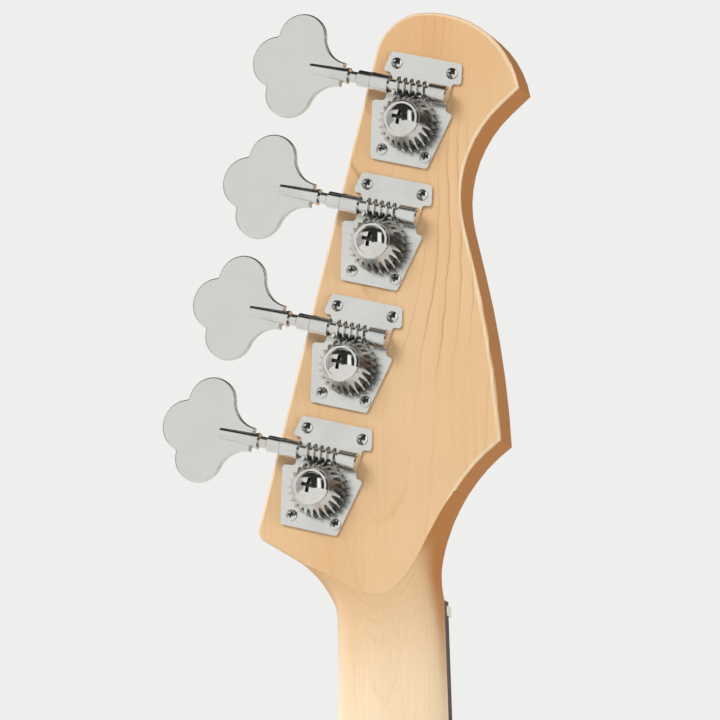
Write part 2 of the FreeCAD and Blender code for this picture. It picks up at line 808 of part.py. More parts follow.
# Worm shafts: two journals, the thread between them, a turned neck and a slotted stem for the key
def worm_shaft():
    """One worm shaft along its own Z, with a crest of the thread level with the gear's axis."""
    body = turned("worm_shaft", (
        ("0", "-bearing_end - end_play"), ("journal_dia / 2", "-bearing_end - end_play"),
        ("journal_dia / 2", "-bearing_start + end_play"), ("worm_core_dia / 2", "-bearing_start + end_play"),
        ("worm_core_dia / 2", "bearing_start - end_play"), ("journal_dia / 2", "bearing_start - end_play"),
        ("journal_dia / 2", "bearing_end + end_play"), ("collar_dia / 2", "bearing_end + end_play"),
        ("collar_dia / 2", COLLAR_END),
        *(("neck_turn_dia / 2", f"{COLLAR_END} + neck_turn_length * {share}") for share in NECK_TURN_SHARES),
        ("flange_dia / 2", NECK_END),
        ("flange_dia / 2", f"{NECK_END} + flange_length"), ("stem_dia / 2", f"{NECK_END} + flange_length"),
        ("stem_tip_dia / 2", f"{STEM_START} + stem_length"), ("0", f"{STEM_START} + stem_length")))
    thread_room = size("bearing_start - end_play - thread_root_width / 2")
    turns_low = math.floor((thread_room - sheet.worm_shift) / sheet.worm_pitch)
    turns_high = math.floor((thread_room + sheet.worm_shift) / sheet.worm_pitch)
    sketch = sketch_on(body, "XZ_Plane", "thread_profile")
    bury = "worm_core_dia / 4"
    low = f"-worm_pitch * {turns_low} - worm_shift"
    draw_corners(sketch, (
        (bury, f"{low} - thread_root_width / 2"), ("worm_core_dia / 2", f"{low} - thread_root_width / 2"),
        ("worm_dia / 2", f"{low} - thread_tip_width / 2"), ("worm_dia / 2", f"{low} + thread_tip_width / 2"),
        ("worm_core_dia / 2", f"{low} + thread_root_width / 2"), (bury, f"{low} + thread_root_width / 2")))
    thread = body.newObject("PartDesign::AdditiveHelix", "thread")
    thread.Profile = sketch
    thread.ReferenceAxis = (sketch, ["V_Axis"])
    thread.Mode = "pitch-height-angle"
    bind(thread, Pitch="worm_pitch", Height=f"worm_pitch * {turns_low + turns_high}")
    slot = sketch_on(body, "YZ_Plane", "stem_slot")
    draw_corners(slot, (
        ("-key_thick / 2", f"{STEM_START} + stem_solid"), ("key_thick / 2", f"{STEM_START} + stem_solid"),
        ("key_thick / 2", f"{STEM_START} + stem_length + cut_overrun"),
        ("-key_thick / 2", f"{STEM_START} + stem_length + cut_overrun")))
    bind(slot, **{"AttachmentOffset.Base.z": "stem_dia"})
    pocket = body.newObject("PartDesign::Pocket", "stem_slot_cut")
    pocket.Profile = slot
    bind(pocket, Length="2 * stem_dia")
    return body


worm_master = worm_shaft()


# Tuner keys: a flat clover of three lobes on a waisted neck
def tuner_key():
    """One key in the worm's frame, its plate square to the worm's Y."""
    body, sketch = padded("tuner_key", "XZ_Plane", "key_thick")
    bind(sketch, **{"AttachmentOffset.Base.z": "-key_thick / 2"})
    base = size(f"{STEM_START} + stem_solid")
    tip = base + sheet.key_length
    side = Vector(sheet.key_lobe_side, tip - sheet.key_lobe_back, 0)
    end = Vector(0, tip - sheet.key_end_dia / 2, 0)
    side_radius = sheet.key_lobe_dia / 2
    end_radius = sheet.key_end_dia / 2
    span = side - end
    reach = (span.Length ** 2 + end_radius ** 2 - side_radius ** 2) / (2 * span.Length)
    rise = math.sqrt(end_radius ** 2 - reach ** 2)
    toward = span / span.Length
    notch = end + toward * reach + Vector(toward.y, -toward.x, 0) * rise
    root = Vector(sheet.key_neck_width / 2, base, 0)
    gap = root - side
    flank_radius = (gap.Length ** 2 - side_radius ** 2) / (2 * (side_radius - gap.x))
    flank_centre = root + Vector(flank_radius, 0, 0)
    flank = flank_centre + (side - flank_centre).normalize() * flank_radius
    waist = flank_centre + (root + flank - flank_centre * 2).normalize() * flank_radius
    outer = side + Vector(side_radius, 0, 0)

    def mirrored(spot):
        return Vector(-spot.x, spot.y, 0)

    left = [mirrored(spot) for spot in (root, waist, flank, outer, notch)]
    draw(sketch, (
        Part.Arc(root, waist, flank), Part.Arc(flank, outer, notch),
        Part.Arc(notch, Vector(0, tip, 0), left[4]), Part.Arc(left[4], left[3], left[2]),
        Part.Arc(left[2], left[1], left[0]), Part.LineSegment(left[0], root)))
    rounded(body, "key_notches", "key_notch_round",
            lambda edge: edge.BoundBox.YLength > sheet.key_thick / 2 and edge.CenterOfMass.z > side.y)
    rounded(body, "key_edges", "key_round",
            lambda edge: edge.BoundBox.YLength < sheet.key_thick / 4 and edge.CenterOfMass.z > base)
    return body


key_master = tuner_key()


# Gears: a thick wheel with a bevelled top, gashed with slanted tooth gaps that follow the worm's lead
def worm_gear():
    """One gear in the tuner's own frame, a gap facing the worm at mid thickness."""
    tip = f"{GEAR_TEETH / (2 * math.pi)} * worm_pitch + gear_addendum"
    body = turned("worm_gear", (
        ("spigot_dia / 2", "0"), (tip, "0"), (tip, "gear_wall"), ("gear_top_dia / 2", "gear_thick"),
        ("spigot_dia / 2", "gear_thick")))
    worm_pitch_radius = worm_offset - gear_pitch_radius
    slant = sheet.worm_pitch / (2 * math.pi * worm_pitch_radius)
    taper = (sheet.thread_root_width - sheet.thread_tip_width) / (sheet.worm_dia - sheet.worm_core_dia) * 2

    def gap_half(radius):
        depth_in_worm = sheet.worm_dia / 2 - (worm_offset - radius)
        return (sheet.thread_tip_width + taper * depth_in_worm) / 2 + sheet.mesh_side_gap

    outer = gear_tip_radius + sheet.cut_overrun
    low = -sheet.cut_overrun
    shift = (low - sheet.gear_thick / 2) * slant
    spots = [Vector(gear_root_radius, shift - gap_half(gear_root_radius), 0),
             Vector(outer, shift - gap_half(outer), 0), Vector(outer, shift + gap_half(outer), 0),
             Vector(gear_root_radius, shift + gap_half(gear_root_radius), 0)]
    gash = sketch_on(body, "XY_Plane", "tooth_gap")
    draw(gash, closed(spots))
    bind(gash, **{"AttachmentOffset.Base.z": "-cut_overrun"})
    pocket = body.newObject("PartDesign::Pocket", "tooth_gap_cut")
    pocket.Profile = gash
    bind(pocket, Length="2 * gear_thick + 2 * cut_overrun")
    pocket.UseCustomVector = True
    pocket.Direction = Vector(0, slant, 1)
    pocket.AlongSketchNormal = False
    pattern = body.newObject("PartDesign::PolarPattern", "teeth")
    pattern.Originals = [pocket]
    pattern.Axis = (plane_of(body, "Z_Axis"), [""])
    pattern.Angle = FULL_TURN
    pattern.Occurrences = GEAR_TEETH
    body.Tip = pattern
    return body


gear_master = worm_gear()


# String posts: a slotted head, a waist for the windings and a spigot that carries the gear
def string_post():
    """One post in the tuner's own frame, its head out of the headstock's front."""
    face = "headstock_thick"
    neck_end = f"{face} + post_reach - post_head_length"
    waist_end = f"{neck_end} - post_waist_length"
    seat = "plate_thick + gear_lift"
    body = turned("string_post_blank", (
        ("0", f"-({face}) - post_reach"), ("post_dia / 2", f"-({face}) - post_reach"),
        ("post_dia / 2", f"-({neck_end})"), ("post_waist_dia / 2", f"-({neck_end})"),
        ("post_waist_dia / 2", f"-({waist_end})"), ("post_dia / 2", f"-({waist_end}) + post_flare"),
        ("post_dia / 2", seat), ("spigot_dia / 2", seat), ("spigot_dia / 2", f"{seat} + gear_thick"),
        ("gear_screw_dia / 2 + running_gap", f"{seat} + gear_thick"),
        ("gear_screw_dia / 2 + running_gap", f"{seat} + gear_thick - gear_screw_length - screw_gap"),
        ("0", f"{seat} + gear_thick - gear_screw_length - screw_gap")))
    end = size(f"-({face}) - post_reach")
    bore = rod("post_bore", "post_bore_dia", "post_bore_depth + cut_overrun",
               Vector(0, 0, end - sheet.cut_overrun), UP)
    slot = box("post_slot", ("post_slot_width", "2 * post_dia", "post_slot_depth + cut_overrun"),
               Vector(-sheet.post_slot_width / 2, -sheet.post_dia, end - sheet.cut_overrun))
    return cut("string_post", body, [fused("post_slot_and_bore", [bore, slot])])


post_master = string_post()
gear_screw_rim = (
    ("gear_screw_rim_dia / 2", "0"), ("gear_screw_rim_dia / 2", f"gear_screw_rim * {RIM_WALL_SHARE}"),
    (f"gear_screw_rim_dia / 2 - gear_screw_rim * (1 - {RIM_WALL_SHARE})", "gear_screw_rim"),
    ("gear_screw_dome_dia / 2", "gear_screw_rim"))
gear_screw = screw("gear_screw", "gear_screw_dome_dia", "gear_screw_rim + gear_screw_dome", "gear_screw_dia",
                   "gear_screw_length", "gear_recess_width", "gear_recess_depth", gear_screw_rim)
gear_top = sheet.plate_thick + sheet.gear_lift + sheet.gear_thick

for index, name in enumerate(STRINGS):
    keep(f"worm_shaft_{name}", at_place(f"worm_shaft_{name}", worm_master, worm_place(index)))
    keep(f"tuner_key_{name}", at_place(f"tuner_key_{name}", key_master, worm_place(index)))
    seat = Vector(0, 0, sheet.plate_thick + sheet.gear_lift)
    keep(f"worm_gear_{name}", at_place(f"worm_gear_{name}", gear_master, row_place(index, seat)))
    post = at_place(f"post_{name}", post_master, row_place(index))
    top_screw = at_place(f"gear_screw_{name}", gear_screw, row_place(index, Vector(0, 0, gear_top)))
    pair = doc.addObject("Part::Compound", f"string_post_{name}")
    pair.Links = [post, top_screw]
    keep(f"string_post_{name}", pair)

# Ferrules at the headstock's front
ferrule = turned("ferrule", (
    ("post_dia / 2 + running_gap", "ferrule_flange"), ("post_dia / 2 + running_gap", "-ferrule_depth"),
    ("ferrule_dia / 2", "-ferrule_depth"), ("ferrule_dia / 2", "0"), ("ferrule_flange_dia / 2", "0"),
    ("ferrule_flange_dia / 2", "ferrule_flange / 2"),
    ("ferrule_flange_dia / 2 - ferrule_flange / 2", "ferrule_flange")))
ferrule_places = [facing(post + FRONT * sheet.headstock_thick, FRONT) for post in posts]
keep("tuner_ferrules", copies("tuner_ferrules", ferrule, ferrule_places))


# Neck and headstock: a flat slab, its back carved round, its face lowered, then drilled
def on_headstock(share):
    """A spot of the headstock's outline from its shares, in the front view."""
    return Vector(share[0] * sheet.headstock_width, nut_z + share[1] * row_top, 0)


def flat(spot):
    """A place in space as a spot of the front view."""
    return Vector(spot.x, spot.z, 0)


edge_low = posts[0] + to_keys * sheet.tuner_edge - along_row * sheet.tuner_low_end
edge_high = posts[-1] + to_keys * sheet.tuner_edge + along_row * sheet.tuner_end
row_top = edge_high.z - nut_z


def leaving_arc(start, direction, end):
    """An arc that leaves start along a direction and ends at end."""
    chord = end - start
    normal = Vector(-direction.y, direction.x, 0).normalize()
    radius = chord.dot(chord) / (2 * chord.dot(normal))
    centre = start + normal * radius
    middle = centre + ((start + end) / 2 - centre).normalize() * abs(radius)
    return Part.Arc(start, middle, end)


def neck_slab():
    """The neck's outline raised from its back to the fingerboard's seat, its back edges eased."""
    body, sketch = padded("neck_slab", "XZ_Plane", slab_depth, Placement(BACK * back_y, Rotation()))
    heel = Vector(sheet.heel_width / 2, heel_z, 0)
    nut = Vector(sheet.nut_width / 2, nut_z, 0)
    heel_treble = Vector(-heel.x, heel.y, 0)
    nut_treble = Vector(-nut.x, nut.y, 0)
    low = flat(edge_low)
    row = flat(along_row)
    cheek = rounded_corner(nut, Vector(nut.x, nut_z + CHEEK_SHARE * row_top, 0), low, sheet.cheek_radius)
    crown = on_headstock(CROWN_SHARE)
    high = low + row * ((crown.y - low.y) / row.y)
    corner = rounded_corner(cheek[2], low, high, sheet.corner_radius)
    top_reach = high.x - crown.x
    top_radius = top_reach * math.tan((high - low).getAngle(high - crown) / 2)
    top = rounded_corner(low, high, crown, top_radius)
    upper_point = on_headstock(UPPER_POINT_SHARE)
    side_bend = on_headstock(SIDE_BEND_SHARE)
    hook_corner = on_headstock(HOOK_CORNER_SHARE)
    hook = rounded_corner(upper_point, hook_corner, side_bend, sheet.hook_radius)
    lower_point = on_headstock(LOWER_POINT_SHARE)
    throat = Vector(nut_treble.x, nut_z + THROAT_START_SHARE * row_top, 0)
    upright = Vector(0, 1, 0)
    draw(sketch, (
        Part.LineSegment(heel_treble, heel), Part.LineSegment(heel, nut),
        Part.LineSegment(nut, cheek[0]), cheek[1], Part.LineSegment(cheek[2], corner[0]), corner[1],
        Part.LineSegment(corner[2], top[0]), top[1],
        leaving_arc(crown, Vector(-1, 0, 0), upper_point), Part.LineSegment(upper_point, hook[0]), hook[1],
        Part.LineSegment(hook[2], side_bend), leaving_arc(side_bend, side_bend - hook_corner, lower_point),
        leaving_arc(throat, upright, lower_point), Part.LineSegment(throat, nut_treble),
        Part.LineSegment(nut_treble, heel_treble)))
    rounded(body, "headstock_edges", "headstock_round",
            lambda edge: edge.BoundBox.YMin > -sheet.headstock_round and edge.CenterOfMass.z > cheek[2].y)
    return body


def carve_section(z, slab, depth, squareness, wing=1):
    """A closed section of the neck's carved back at a height: flat front, straight sides, rounded back."""
    outline = slab.Shape.slice(UP, z)[0].BoundBox
    across = outline.XMax * wing + sheet.carve_margin, -outline.XMin + sheet.carve_margin
    side_y = seat_y + sheet.neck_side_flat
    spots = []
    for step in range(SECTION_POINTS):
        turn = math.pi * step / (SECTION_POINTS - 1)
        reach = math.copysign(abs(math.cos(turn)) ** (2 / squareness), math.cos(turn))
        rise = abs(math.sin(turn)) ** (2 / squareness)
        half = across[0] if reach > 0 else across[1]
        spots.append(Vector(half * reach, side_y + (depth - sheet.neck_side_flat) * rise, z))
    back = Part.BSplineCurve()
    back.interpolate(spots)
    fore = [Vector(spot.x, seat_y - sheet.cut_overrun, z) for spot in (spots[0], spots[-1])]
    sides = Part.LineSegment(fore[0], spots[0]), Part.LineSegment(spots[-1], fore[1])
    front = Part.LineSegment(fore[1], fore[0])
    return Part.Wire([curve.toShape() for curve in (sides[0], back, sides[1], front)])


def carve_loft(name, sections):
    """One stretch of the carved back, through its sections."""
    made = doc.addObject("Part::Feature", name)
    made.Shape = Part.makeLoft(sections, True, False)
    return made


def neck_carve(slab):
    """The space that the carved neck fills: square heel, blend, shaft, volute and square headstock."""
    full = size(slab_depth) + sheet.cut_overrun
    blend_low = mouth_z + sheet.heel_reach
    blend_high = blend_low + sheet.heel_blend
    volute_low = nut_z - sheet.volute_start
    volute_high = nut_z + sheet.volute_end
    wide = 2 * sheet.headstock_width
    slab_top = slab.Shape.BoundBox.ZMax

    def square(name, low, high):
        return box(name, ("4 * headstock_width", f"{slab_depth} + 2 * cut_overrun", high - low),
                   Vector(-wide, seat_y - sheet.cut_overrun, low))

    blend = []
    for share in HEEL_BLEND_SHARES:
        ease = share * share * (3 - 2 * share)
        depth = full + (sheet.neck_depth_body - full) * ease
        squareness = HEEL_SQUARE + (NECK_ROUND - HEEL_SQUARE) * ease
        blend.append(carve_section(blend_low + sheet.heel_blend * share, slab, depth, squareness))
    shaft = [carve_section(blend_high, slab, sheet.neck_depth_body, NECK_ROUND),
             carve_section(volute_low, slab, sheet.neck_depth_nut, NECK_ROUND)]
    volute = []
    for share, wing in zip(VOLUTE_SHARES, WING_SHARES):
        climb = (volute_high - volute_low) * share
        lift = sheet.volute_radius - math.sqrt(sheet.volute_radius ** 2 - climb ** 2)
        squareness = NECK_ROUND + (VOLUTE_ROUND - NECK_ROUND) * share
        volute.append(carve_section(volute_low + climb, slab, sheet.neck_depth_nut + lift, squareness, wing))
    return fused("neck_carve", [
        square("heel_block", heel_z - sheet.cut_overrun, blend_low), carve_loft("heel_blend_carve", blend),
        carve_loft("shaft_carve", shaft), carve_loft("volute_carve", volute),
        square("headstock_block", volute_high, slab_top + sheet.cut_overrun)])


def neck_tools():
    """What is taken out of the neck: headstock face, rod channel, post holes and screw holes."""
    ramp_low = nut_z + sheet.nut_thick + sheet.ramp_shelf
    drop = face_y - seat_y
    ramp_run = math.sqrt(max(2 * sheet.ramp_radius * drop - drop ** 2, 0))
    ramp_z = ramp_low + ramp_run
    wide = 2 * sheet.headstock_width
    scoop = rod("face_scoop", "2 * ramp_radius", "4 * headstock_width",
                Vector(-wide, face_y - sheet.ramp_radius, ramp_z), BASS)
    face = box("face_cut", ("4 * headstock_width", "2 * ramp_radius", row_top * 2),
               Vector(-wide, face_y - 2 * sheet.ramp_radius, ramp_z))
    tools = [fused("headstock_face", [scoop, face])]
    channel_length = nut_z - sheet.rod_stop - heel_z + sheet.cut_overrun
    channel_low = heel_z - sheet.cut_overrun
    channel = box("rod_channel",
                  ("rod_width + 2 * seat_gap", "rod_depth + seat_gap + cut_overrun", channel_length),
                  Vector(-size("rod_width / 2 + seat_gap"), seat_y - sheet.cut_overrun, channel_low))
    nut_room = rod("rod_nut_room", "rod_nut_dia + 2 * seat_gap", "rod_nut_length + cut_overrun",
                   Vector(0, seat_y + sheet.rod_depth / 2, channel_low), UP)
    tools.append(fused("rod_room", [channel, nut_room]))
    for post in posts:
        hole = rod("post_hole", post_hole, "headstock_thick + 2 * cut_overrun",
                   post + BACK * sheet.cut_overrun, FRONT)
        room = rod("ferrule_room", "ferrule_dia + 2 * running_gap", "ferrule_depth + seat_gap + cut_overrun",
                   post + FRONT * (sheet.headstock_thick + sheet.cut_overrun), BACK)
        tools.append(fused("post_room", [hole, room]))
    screw_hole = rod("plate_screw_hole", "plate_screw_dia + 2 * running_gap",
                     "plate_screw_length + cut_overrun", DOWN * sheet.plate_screw_length, UP)
    tools.append(copies("plate_screw_holes", screw_hole, plate_screw_places))
    tools.append(rod("tree_screw_hole", "tree_screw_dia + 2 * running_gap", "tree_screw_depth + cut_overrun",
                     tree_spot + FRONT * sheet.cut_overrun, BACK))
    tools += neck_screw_holes("neck", size("neck_screw_length - neck_plate_thick") + sheet.screw_gap)
    return tools


def neck_screw_spots():
    """Front-view places of the four neck screws, about the middle of the neck pocket."""
    middle = (heel_z + mouth_z) / 2
    return [Vector(side * sheet.neck_screw_side / 2, middle + end * sheet.neck_screw_rise / 2, 0)
            for side in (1, -1) for end in (1, -1)]


def neck_screw_holes(name, depth):
    """Holes for the four neck screws, from the body's back."""
    return [rod(f"{name}_screw_hole", "neck_screw_dia + 2 * running_gap", depth + sheet.cut_overrun,
                from_front(spot, rear_y + sheet.cut_overrun), FRONT) for spot in neck_screw_spots()]


tree_spot = Vector(-sheet.tree_offset, face_y, nut_z + sheet.tree_height_on_neck)
slab = neck_slab()
doc.recompute()
keep("neck", cut("neck", common("neck_blank", slab, neck_carve(slab)), neck_tools()))

# Truss rod with its adjusting nut at the heel
rod_length = nut_z - sheet.rod_stop - sheet.seat_gap - heel_z - sheet.rod_nut_length
rod_bar = box("rod_bar", ("rod_width", "rod_depth", rod_length),
              Vector(-sheet.rod_width / 2, seat_y, heel_z + sheet.rod_nut_length))
rod_centre = Vector(0, seat_y + sheet.rod_depth / 2, heel_z)
rod_nut = rod("rod_nut", "rod_nut_dia", "rod_nut_length", rod_centre, UP)
rod_key = rod("rod_key_hole", "rod_key_dia", "rod_key_depth + cut_overrun",
              rod_centre + DOWN * sheet.cut_overrun, UP)
keep("truss_rod", cut("truss_rod", fused("truss_rod_bar", [rod_bar, rod_nut]), [rod_key]))


# Fingerboard: a tapered strip under a cylindrical crown, slotted for the frets and drilled for the markers
def crown_ring(name, z, width, low, high, half):
    """A strip of a ring about the crown's axis at a height, from radius low to high, out to a half width."""
    angle = math.asin(half / sheet.board_radius)
    axis = Vector(0, board_top_y + sheet.board_radius, z)
    corners = [Vector(0, axis.y - reach, z + end * width / 2)
               for reach, end in ((low, -1), (low, 1), (high, 1), (high, -1), (low, -1))]
    face = Part.Face(Part.makePolygon(corners))
    face.rotate(axis, UP, -math.degrees(angle))
    made = doc.addObject("Part::Feature", name)
    made.Shape = face.revolve(axis, UP, 2 * math.degrees(angle))
    return made


def fret_wire(number):
    """One fret: a rounded bead on a thin tang, bent to the crown."""
    z = fret_z(number)
    angle = math.asin((neck_half(z) - sheet.fret_inset) / sheet.board_radius)
    axis = Vector(0, board_top_y + sheet.board_radius, z)
    bead = [Vector(0, board_top_y, z - sheet.fret_width / 2), Vector(0, board_top_y - sheet.fret_height, z),
            Vector(0, board_top_y, z + sheet.fret_width / 2)]
    tang = [Vector(0, board_top_y + depth, z + end * sheet.fret_tang_width / 2)
            for depth, end in ((0, 1), (sheet.fret_tang_depth, 1), (sheet.fret_tang_depth, -1), (0, -1))]
    edges = [Part.Arc(*bead).toShape()]
    run = [bead[2]] + tang + [bead[0]]
    edges += [Part.LineSegment(start, end).toShape() for start, end in zip(run, run[1:])]
    face = Part.Face(Part.Wire(edges))
    face.rotate(axis, UP, -math.degrees(angle))
    made = doc.addObject("Part::Feature", f"fret_{number}")
    made.Shape = face.revolve(axis, UP, 2 * math.degrees(angle))
    return made


def dot_spots():
    """Places of the face markers; the octave has two."""
    spots = []
    for number in DOT_FRETS:
        middle = (fret_z(number) + fret_z(number - 1)) / 2
        sides = (-sheet.twin_dot_pitch / 2, sheet.twin_dot_pitch / 2) if number == OCTAVE else (0,)
        spots += [Vector(side, board_top_y, middle) for side in sides]
    return spots


def side_dots(name):
    """Small round markers let into the bass edge of the fingerboard."""
    made = []
    for number in DOT_FRETS:
        middle = (fret_z(number) + fret_z(number - 1)) / 2
        base = Vector(neck_half(middle) - sheet.side_dot_depth,
                      seat_y - sheet.board_thick * SIDE_DOT_SHARE, middle)
        made.append(rod(f"{name}_{number}", "side_dot_dia", "side_dot_depth", base, BASS))
    return made


crown = rod("board_crown", "2 * board_radius", "2 * scale_length",
            Vector(0, board_top_y + sheet.board_radius, nut_z - sheet.scale_length), UP)
strip, sketch = padded("board_strip", "XZ_Plane", "board_thick", Placement(BACK * seat_y, Rotation()))
half_end = neck_half(board_end_z)
half_nut = neck_half(nut_z)
lip_z = nut_z + size("nut_thick + ramp_shelf")
bass_edge = [Vector(half_end, board_end_z, 0), Vector(half_nut, nut_z, 0), Vector(half_nut, lip_z, 0)]
draw(sketch, closed(bass_edge + [Vector(-spot.x, spot.y, 0) for spot in reversed(bass_edge)]))
nut_seat = box("nut_seat", ("2 * nut_width", "board_thick - nut_bed + cut_overrun", "nut_thick"),
               Vector(-sheet.nut_width, board_top_y - sheet.cut_overrun, nut_z))
slots = [crown_ring(f"fret_slot_{number}", fret_z(number), size("fret_tang_width + 2 * running_gap"),
                    size("board_radius - fret_tang_depth - running_gap"), size("board_radius + cut_overrun"),
                    neck_half(fret_z(number)) + sheet.cut_overrun) for number in range(1, FRETS + 1)]
dots = doc.addObject("Part::Compound", "dot_rods")
dots.Links = [rod("dot_rod", "dot_dia", "dot_depth + cut_overrun", spot + FRONT * sheet.cut_overrun, BACK)
              for spot in dot_spots()]
board = common("board_crowned", strip, crown)
keep("fingerboard", cut("fingerboard", board, slots + [dots, nut_seat] + side_dots("side_dot_hole")))
frets = doc.addObject("Part::Compound", "frets")
frets.Links = [fret_wire(number) for number in range(1, FRETS + 1)]
keep("frets", frets)
markers = doc.addObject("Part::Compound", "position_markers")
markers.Links = [common("face_dots", dots, crown)] + side_dots("side_dot")
keep("position_markers", markers)

# Nut: a bar let into the fingerboard, with a slot for each string
nut_bar = box("nut_bar", ("nut_width", "board_thick - nut_bed + nut_rise", "nut_thick"),
              Vector(-sheet.nut_width / 2, board_top_y - sheet.nut_rise, nut_z))
nut_slots = []
for index, name in enumerate(STRINGS):
    wide = f"gauge_{name} + 2 * seat_gap"
    floor_y = string_bottom(nut_z) + sheet.seat_gap
    nut_slots.append(box(f"nut_slot_{name}", (wide, "nut_rise", "nut_thick + 2 * cut_overrun"),
                         Vector(string_side(index, sheet.nut_pitch) - size(wide) / 2,
                                floor_y - sheet.nut_rise, nut_z - sheet.cut_overrun)))
keep("nut", cut("nut", nut_bar, nut_slots))

# String tree: a round disc on a stem that holds two strings down
tree = turned("string_tree", (
    ("tree_screw_dia / 2 + screw_gap", "0"), ("tree_stem_dia / 2", "0"), ("tree_stem_dia / 2", "tree_stand"),
    ("tree_dia / 2", "tree_stand + tree_slope"),
    ("tree_dia / 2", f"tree_stand + tree_thick * {TREE_EDGE_SHARE}"),
    ("tree_dia / 2 - tree_thick / 2", "tree_stand + tree_thick"),
    ("tree_screw_dia / 2 + screw_gap", "tree_stand + tree_thick")), facing(tree_spot, FRONT))
keep("string_tree", tree)
tree_screw = screw("string_tree_screw", "tree_screw_head", "plate_screw_rise", "tree_screw_dia",
                   "tree_stand + tree_thick + tree_screw_depth - screw_gap", "recess_width", "recess_depth")
tree_screw.Placement = facing(tree_spot + FRONT * size("tree_stand + tree_thick"), FRONT)
keep("string_tree_screw", tree_screw)

# Places on the body's front
volume_spot = on_body(VOLUME_SHARE)
tone_spot = on_body(TONE_SHARE)
jack_spot = on_body(JACK_SHARE)
bass_rise = PICKUP_SHARE * sheet.body_length
pickup_rises = (bass_rise, bass_rise - sheet.pickup_step)
pickup_strings = ((0, 1), (2, 3))
pickup_spots = [Vector(sum(string_x(index, rise) for index in pair) / len(pair), rise, 0)
                for rise, pair in zip(pickup_rises, pickup_strings)]
rout_y = front_y + sheet.pickup_rout
cover_top_y = string_bottom(max(pickup_rises)) + sheet.cover_top_gap
ear_y = guard_y - sheet.ear_lift
bridge_low = sheet.saddle_line + sheet.bridge_lead - sheet.bridge_length
bridge_y = front_y - sheet.bridge_thick
cover_reach = "cover_width / 2 + ear_length"


def ear_spots(spot):
    """Places of the two mounting screws in a pickup cover's ears."""
    return [spot + Vector(side * size("cover_width / 2 + ear_length / 2"), 0, 0) for side in (1, -1)]


def bridge_screw_spots():
    """Places of the bridge plate's five screws: three along its lower edge, two beside its upper edge."""
    low = bridge_low + sheet.bridge_screw_row
    high = sheet.saddle_line + sheet.bridge_lead - sheet.bridge_screw_row / 2
    spots = [Vector(step * sheet.bridge_pitch, low, 0) for step in (-1, 0, 1)]
    return spots + [Vector(step * sheet.bridge_pitch, high, 0) for step in (-1, 1)]


# Body: a rounded slab with the neck pocket, pickup and control routs and every screw hole
def body_outline():
    """The body's closed outline in the front view: pairs of arcs that follow a smooth guide curve."""
    spots = [on_body(share) for share in BODY_SHARES]
    guide = Part.BSplineCurve()
    guide.interpolate(spots, True)
    headings = [guide.tangent(guide.parameter(spot))[0] for spot in spots]
    arcs = []
    for index, spot in enumerate(spots):
        after = (index + 1) % len(spots)
        arcs += biarc(spot, headings[index], spots[after], headings[after])
    return arcs


def rout(body, name, depth, curves):
    """Take a shape out of the body's front to a given depth."""
    sketch = sketch_on(body, "XZ_Plane", f"{name}_outline")
    draw(sketch, curves)
    bind(sketch, **{"AttachmentOffset.Base.z": "body_thick + cut_overrun"})
    pocket = body.newObject("PartDesign::Pocket", name)
    pocket.Profile = sketch
    bind(pocket, Length=f"{depth} + cut_overrun")


def pocket_spots(gap):
    """The neck's tapered outline in its pocket, widened by a gap, and past the body's edge."""
    far = mouth_z + sheet.heel_reach
    low = heel_z - gap
    return [Vector(neck_half(low) + gap, low, 0), Vector(neck_half(far) + gap, far, 0),
            Vector(-neck_half(far) - gap, far, 0), Vector(-neck_half(low) - gap, low, 0)]


def control_curves():
    """A long round-ended room under the volume, tone and jack."""
    line = (jack_spot - volume_spot).normalize() * sheet.control_room
    across = Vector(-line.y, line.x, 0)
    return [Part.LineSegment(volume_spot + across, jack_spot + across),
            Part.Arc(jack_spot + across, jack_spot + line, jack_spot - across),
            Part.LineSegment(jack_spot - across, volume_spot - across),
            Part.Arc(volume_spot - across, volume_spot - line, volume_spot + across)]


def bass_body():
    """The rounded slab with its routs, standing on its back face."""
    body, sketch = padded("body_blank", "XZ_Plane", "body_thick", Placement(BACK * rear_y, Rotation()))
    draw(sketch, body_outline())
    rounded(body, "body_edges", "body_round", lambda edge: edge.BoundBox.YLength < sheet.body_round)
    rout(body, "neck_pocket", "pocket_depth", closed(pocket_spots(sheet.seat_gap)))
    for name, spot in zip(("bass", "treble"), pickup_spots):
        half = Vector(size(f"{cover_reach} + guard_gap"), size("cover_height / 2 + guard_gap"), 0)
        corners = [spot + Vector(half.x * across, half.y * up, 0) for across, up in SQUARE]
        rout(body, f"pickup_rout_{name}", "pickup_rout", closed(corners))
    rout(body, "control_rout", "body_thick - control_floor", control_curves())
    return body


def round_holes(name, spots, diameter, depth, y, direction):
    """Round holes of one size at front-view spots, from depth y along a direction."""
    start = y - direction.y * sheet.cut_overrun
    return [rod(name, f"{diameter} + 2 * running_gap", f"{depth} + screw_gap + cut_overrun",
                from_front(spot, start), direction) for spot in spots]


guard_screw_spots = [on_body(share) for share in GUARD_SCREW_SHARES]
pickup_screw_spots = [ear for spot in pickup_spots for ear in ear_spots(spot)]
horn_seat = from_front(on_body(HORN_SHARE), 0) + DOWN * sheet.spot_depth
button_places = [facing(ORIGIN, DOWN), facing(horn_seat, UP)]

